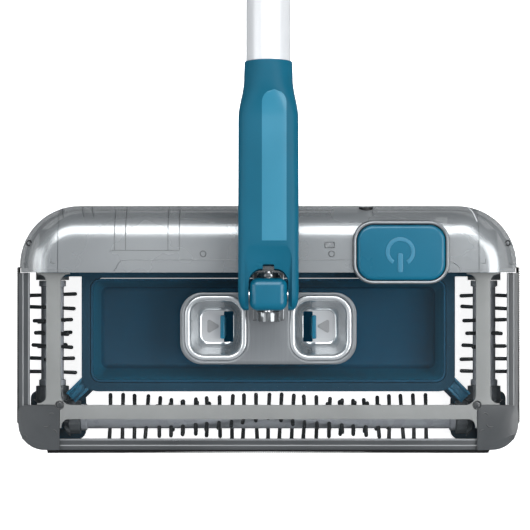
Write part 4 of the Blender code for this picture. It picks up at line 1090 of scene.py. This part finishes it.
def make_stage():
    """Pale floor that glows faintly, as a lit studio table does."""
    floor = surface("floor_white", "f4f4f4", 0.9, vary=0.003, grain=0.0, spots=4, specular=0.1)
    tree = floor.node_tree
    shader = tree.nodes["Principled BSDF"]
    tint = next(n for n in tree.nodes if n.type == "VALTORGB")
    tree.links.new(tint.outputs["Color"], shader.inputs["Emission Color"])
    seen = node(tree, "ShaderNodeLightPath")
    tree.links.new(seen.outputs["Is Camera Ray"], shader.inputs["Emission Strength"])
    # Glossy rays see the floor as dark grey: a painted dark reflection of the floor in shiny parts.
    dark_floor_reflection = node(tree, "ShaderNodeMix")
    dark_floor_reflection.data_type = "RGBA"
    dark_floor_reflection.inputs[7].default_value = (0.07, 0.075, 0.08, 1)
    tree.links.new(seen.outputs["Is Glossy Ray"], dark_floor_reflection.inputs[0])
    tree.links.new(tint.outputs["Color"], dark_floor_reflection.inputs[6])
    tree.links.new(dark_floor_reflection.outputs[2], shader.inputs["Base Color"])
    bm = bmesh.new()
    bmesh.ops.create_grid(bm, x_segments=8, y_segments=8, size=4.0)
    mesh = mesh_of(bm)
    mesh.transform(Matrix.Translation((0, 0, -0.0005)))
    mesh.shade_smooth()
    obj = bpy.data.objects.new("floor", mesh)
    bpy.context.scene.collection.objects.link(obj)
    mesh.materials.append(floor)


def lamp(name, at, aim, size, power, size_y=None):
    data = bpy.data.lights.new(name, "AREA")
    data.shape = "RECTANGLE"
    data.size = size
    data.size_y = size_y or size
    data.energy = power
    obj = bpy.data.objects.new(name, data)
    obj.location = at
    obj.rotation_euler = (Vector(aim) - Vector(at)).to_track_quat("-Z", "Y").to_euler()
    obj.visible_camera = False
    bpy.context.scene.collection.objects.link(obj)


def card(name, aim, away, size, strength, size_y):
    """Soft light card that shows in glossy surfaces and leaves the diffuse light alone."""
    at = Vector(aim) + Vector(away)
    lamp(name, at, aim, size, strength * math.pi * size * size_y, size_y)
    bpy.data.objects[name].visible_diffuse = False


def make_lights():
    """Pale room, brighter overhead than at the horizon, with a near lamp on the right."""
    world = bpy.data.worlds.new("room")
    world.use_nodes = True
    tree = world.node_tree
    background = tree.nodes["Background"]
    place_in_room = node(tree, "ShaderNodeTexCoord")
    split = node(tree, "ShaderNodeSeparateXYZ")
    tree.links.new(place_in_room.outputs["Generated"], split.inputs["Vector"])
    ramp = node(tree, "ShaderNodeValToRGB")
    ramp.color_ramp.elements[0].position = 0.0
    ramp.color_ramp.elements[0].color = (0.16, 0.17, 0.18, 1)
    ramp.color_ramp.elements[1].position = 0.75
    ramp.color_ramp.elements[1].color = (0.92, 0.95, 1.0, 1)
    tree.links.new(split.outputs["Z"], ramp.inputs["Fac"])
    tree.links.new(ramp.outputs["Color"], background.inputs["Color"])
    background.inputs["Strength"].default_value = 0.62
    backdrop = node(tree, "ShaderNodeBackground")
    backdrop.inputs["Color"].default_value = (0.93, 0.94, 0.95, 1)
    backdrop.inputs["Strength"].default_value = 1.0
    seen = node(tree, "ShaderNodeLightPath")
    mix = node(tree, "ShaderNodeMixShader")
    tree.links.new(seen.outputs["Is Camera Ray"], mix.inputs[0])
    tree.links.new(background.outputs[0], mix.inputs[1])
    tree.links.new(backdrop.outputs[0], mix.inputs[2])
    tree.links.new(mix.outputs[0], tree.nodes["World Output"].inputs["Surface"])
    bpy.context.scene.world = world
    lamp("softbox_right", (0.86, HEAD.y + 0.09, 1.09), (0.05, HEAD.y, 0.03), 0.9, 18.1, 0.9)
    lamp("softbox_left", (-0.9, HEAD.y - 0.1, 1.1), (0, HEAD.y, 0), 0.7, 3.1, 0.7)
    lamp("tube_side", (-1.35, HEAD.y + 0.27, 0.75), (0, HEAD.y + 0.22, 0.08), 0.54, 6.5, 0.9)
    card("card_rear", (0, HEAD.y, 0.06), (-0.10, 1.0, 1.15), 1.6, 8.5, 0.9)
    card("card_top", (0, HEAD.y, 0.06), (0.12, 0.30, 2.1), 0.6, 0.45, 0.9)


def make_camera():
    data = bpy.data.cameras.new("camera")
    data.sensor_width = 36.0
    data.lens = 162.6
    data.clip_end = 20.0
    obj = bpy.data.objects.new("camera", data)
    obj.location = (-0.0022, HEAD.y + 0.0414, 1.626)
    bpy.context.scene.collection.objects.link(obj)
    bpy.context.scene.camera = obj
    bpy.context.scene.view_settings.view_transform = "Standard"


make_stage()
make_lights()
make_camera()
make_brushes()
make_housing()
make_button()
make_bezel()
make_top_frame()
make_skirt()
make_plate()
make_yoke()
make_yoke_highlight()
make_handle()
make_grip()
make_knuckle()
make_bracket()
make_tray()
make_rollers()
make_bumpers()
make_cover()
make_tabs()
make_lens()
make_housing_marks()
make_flange_highlights()
make_cap_marks()
make_struts()
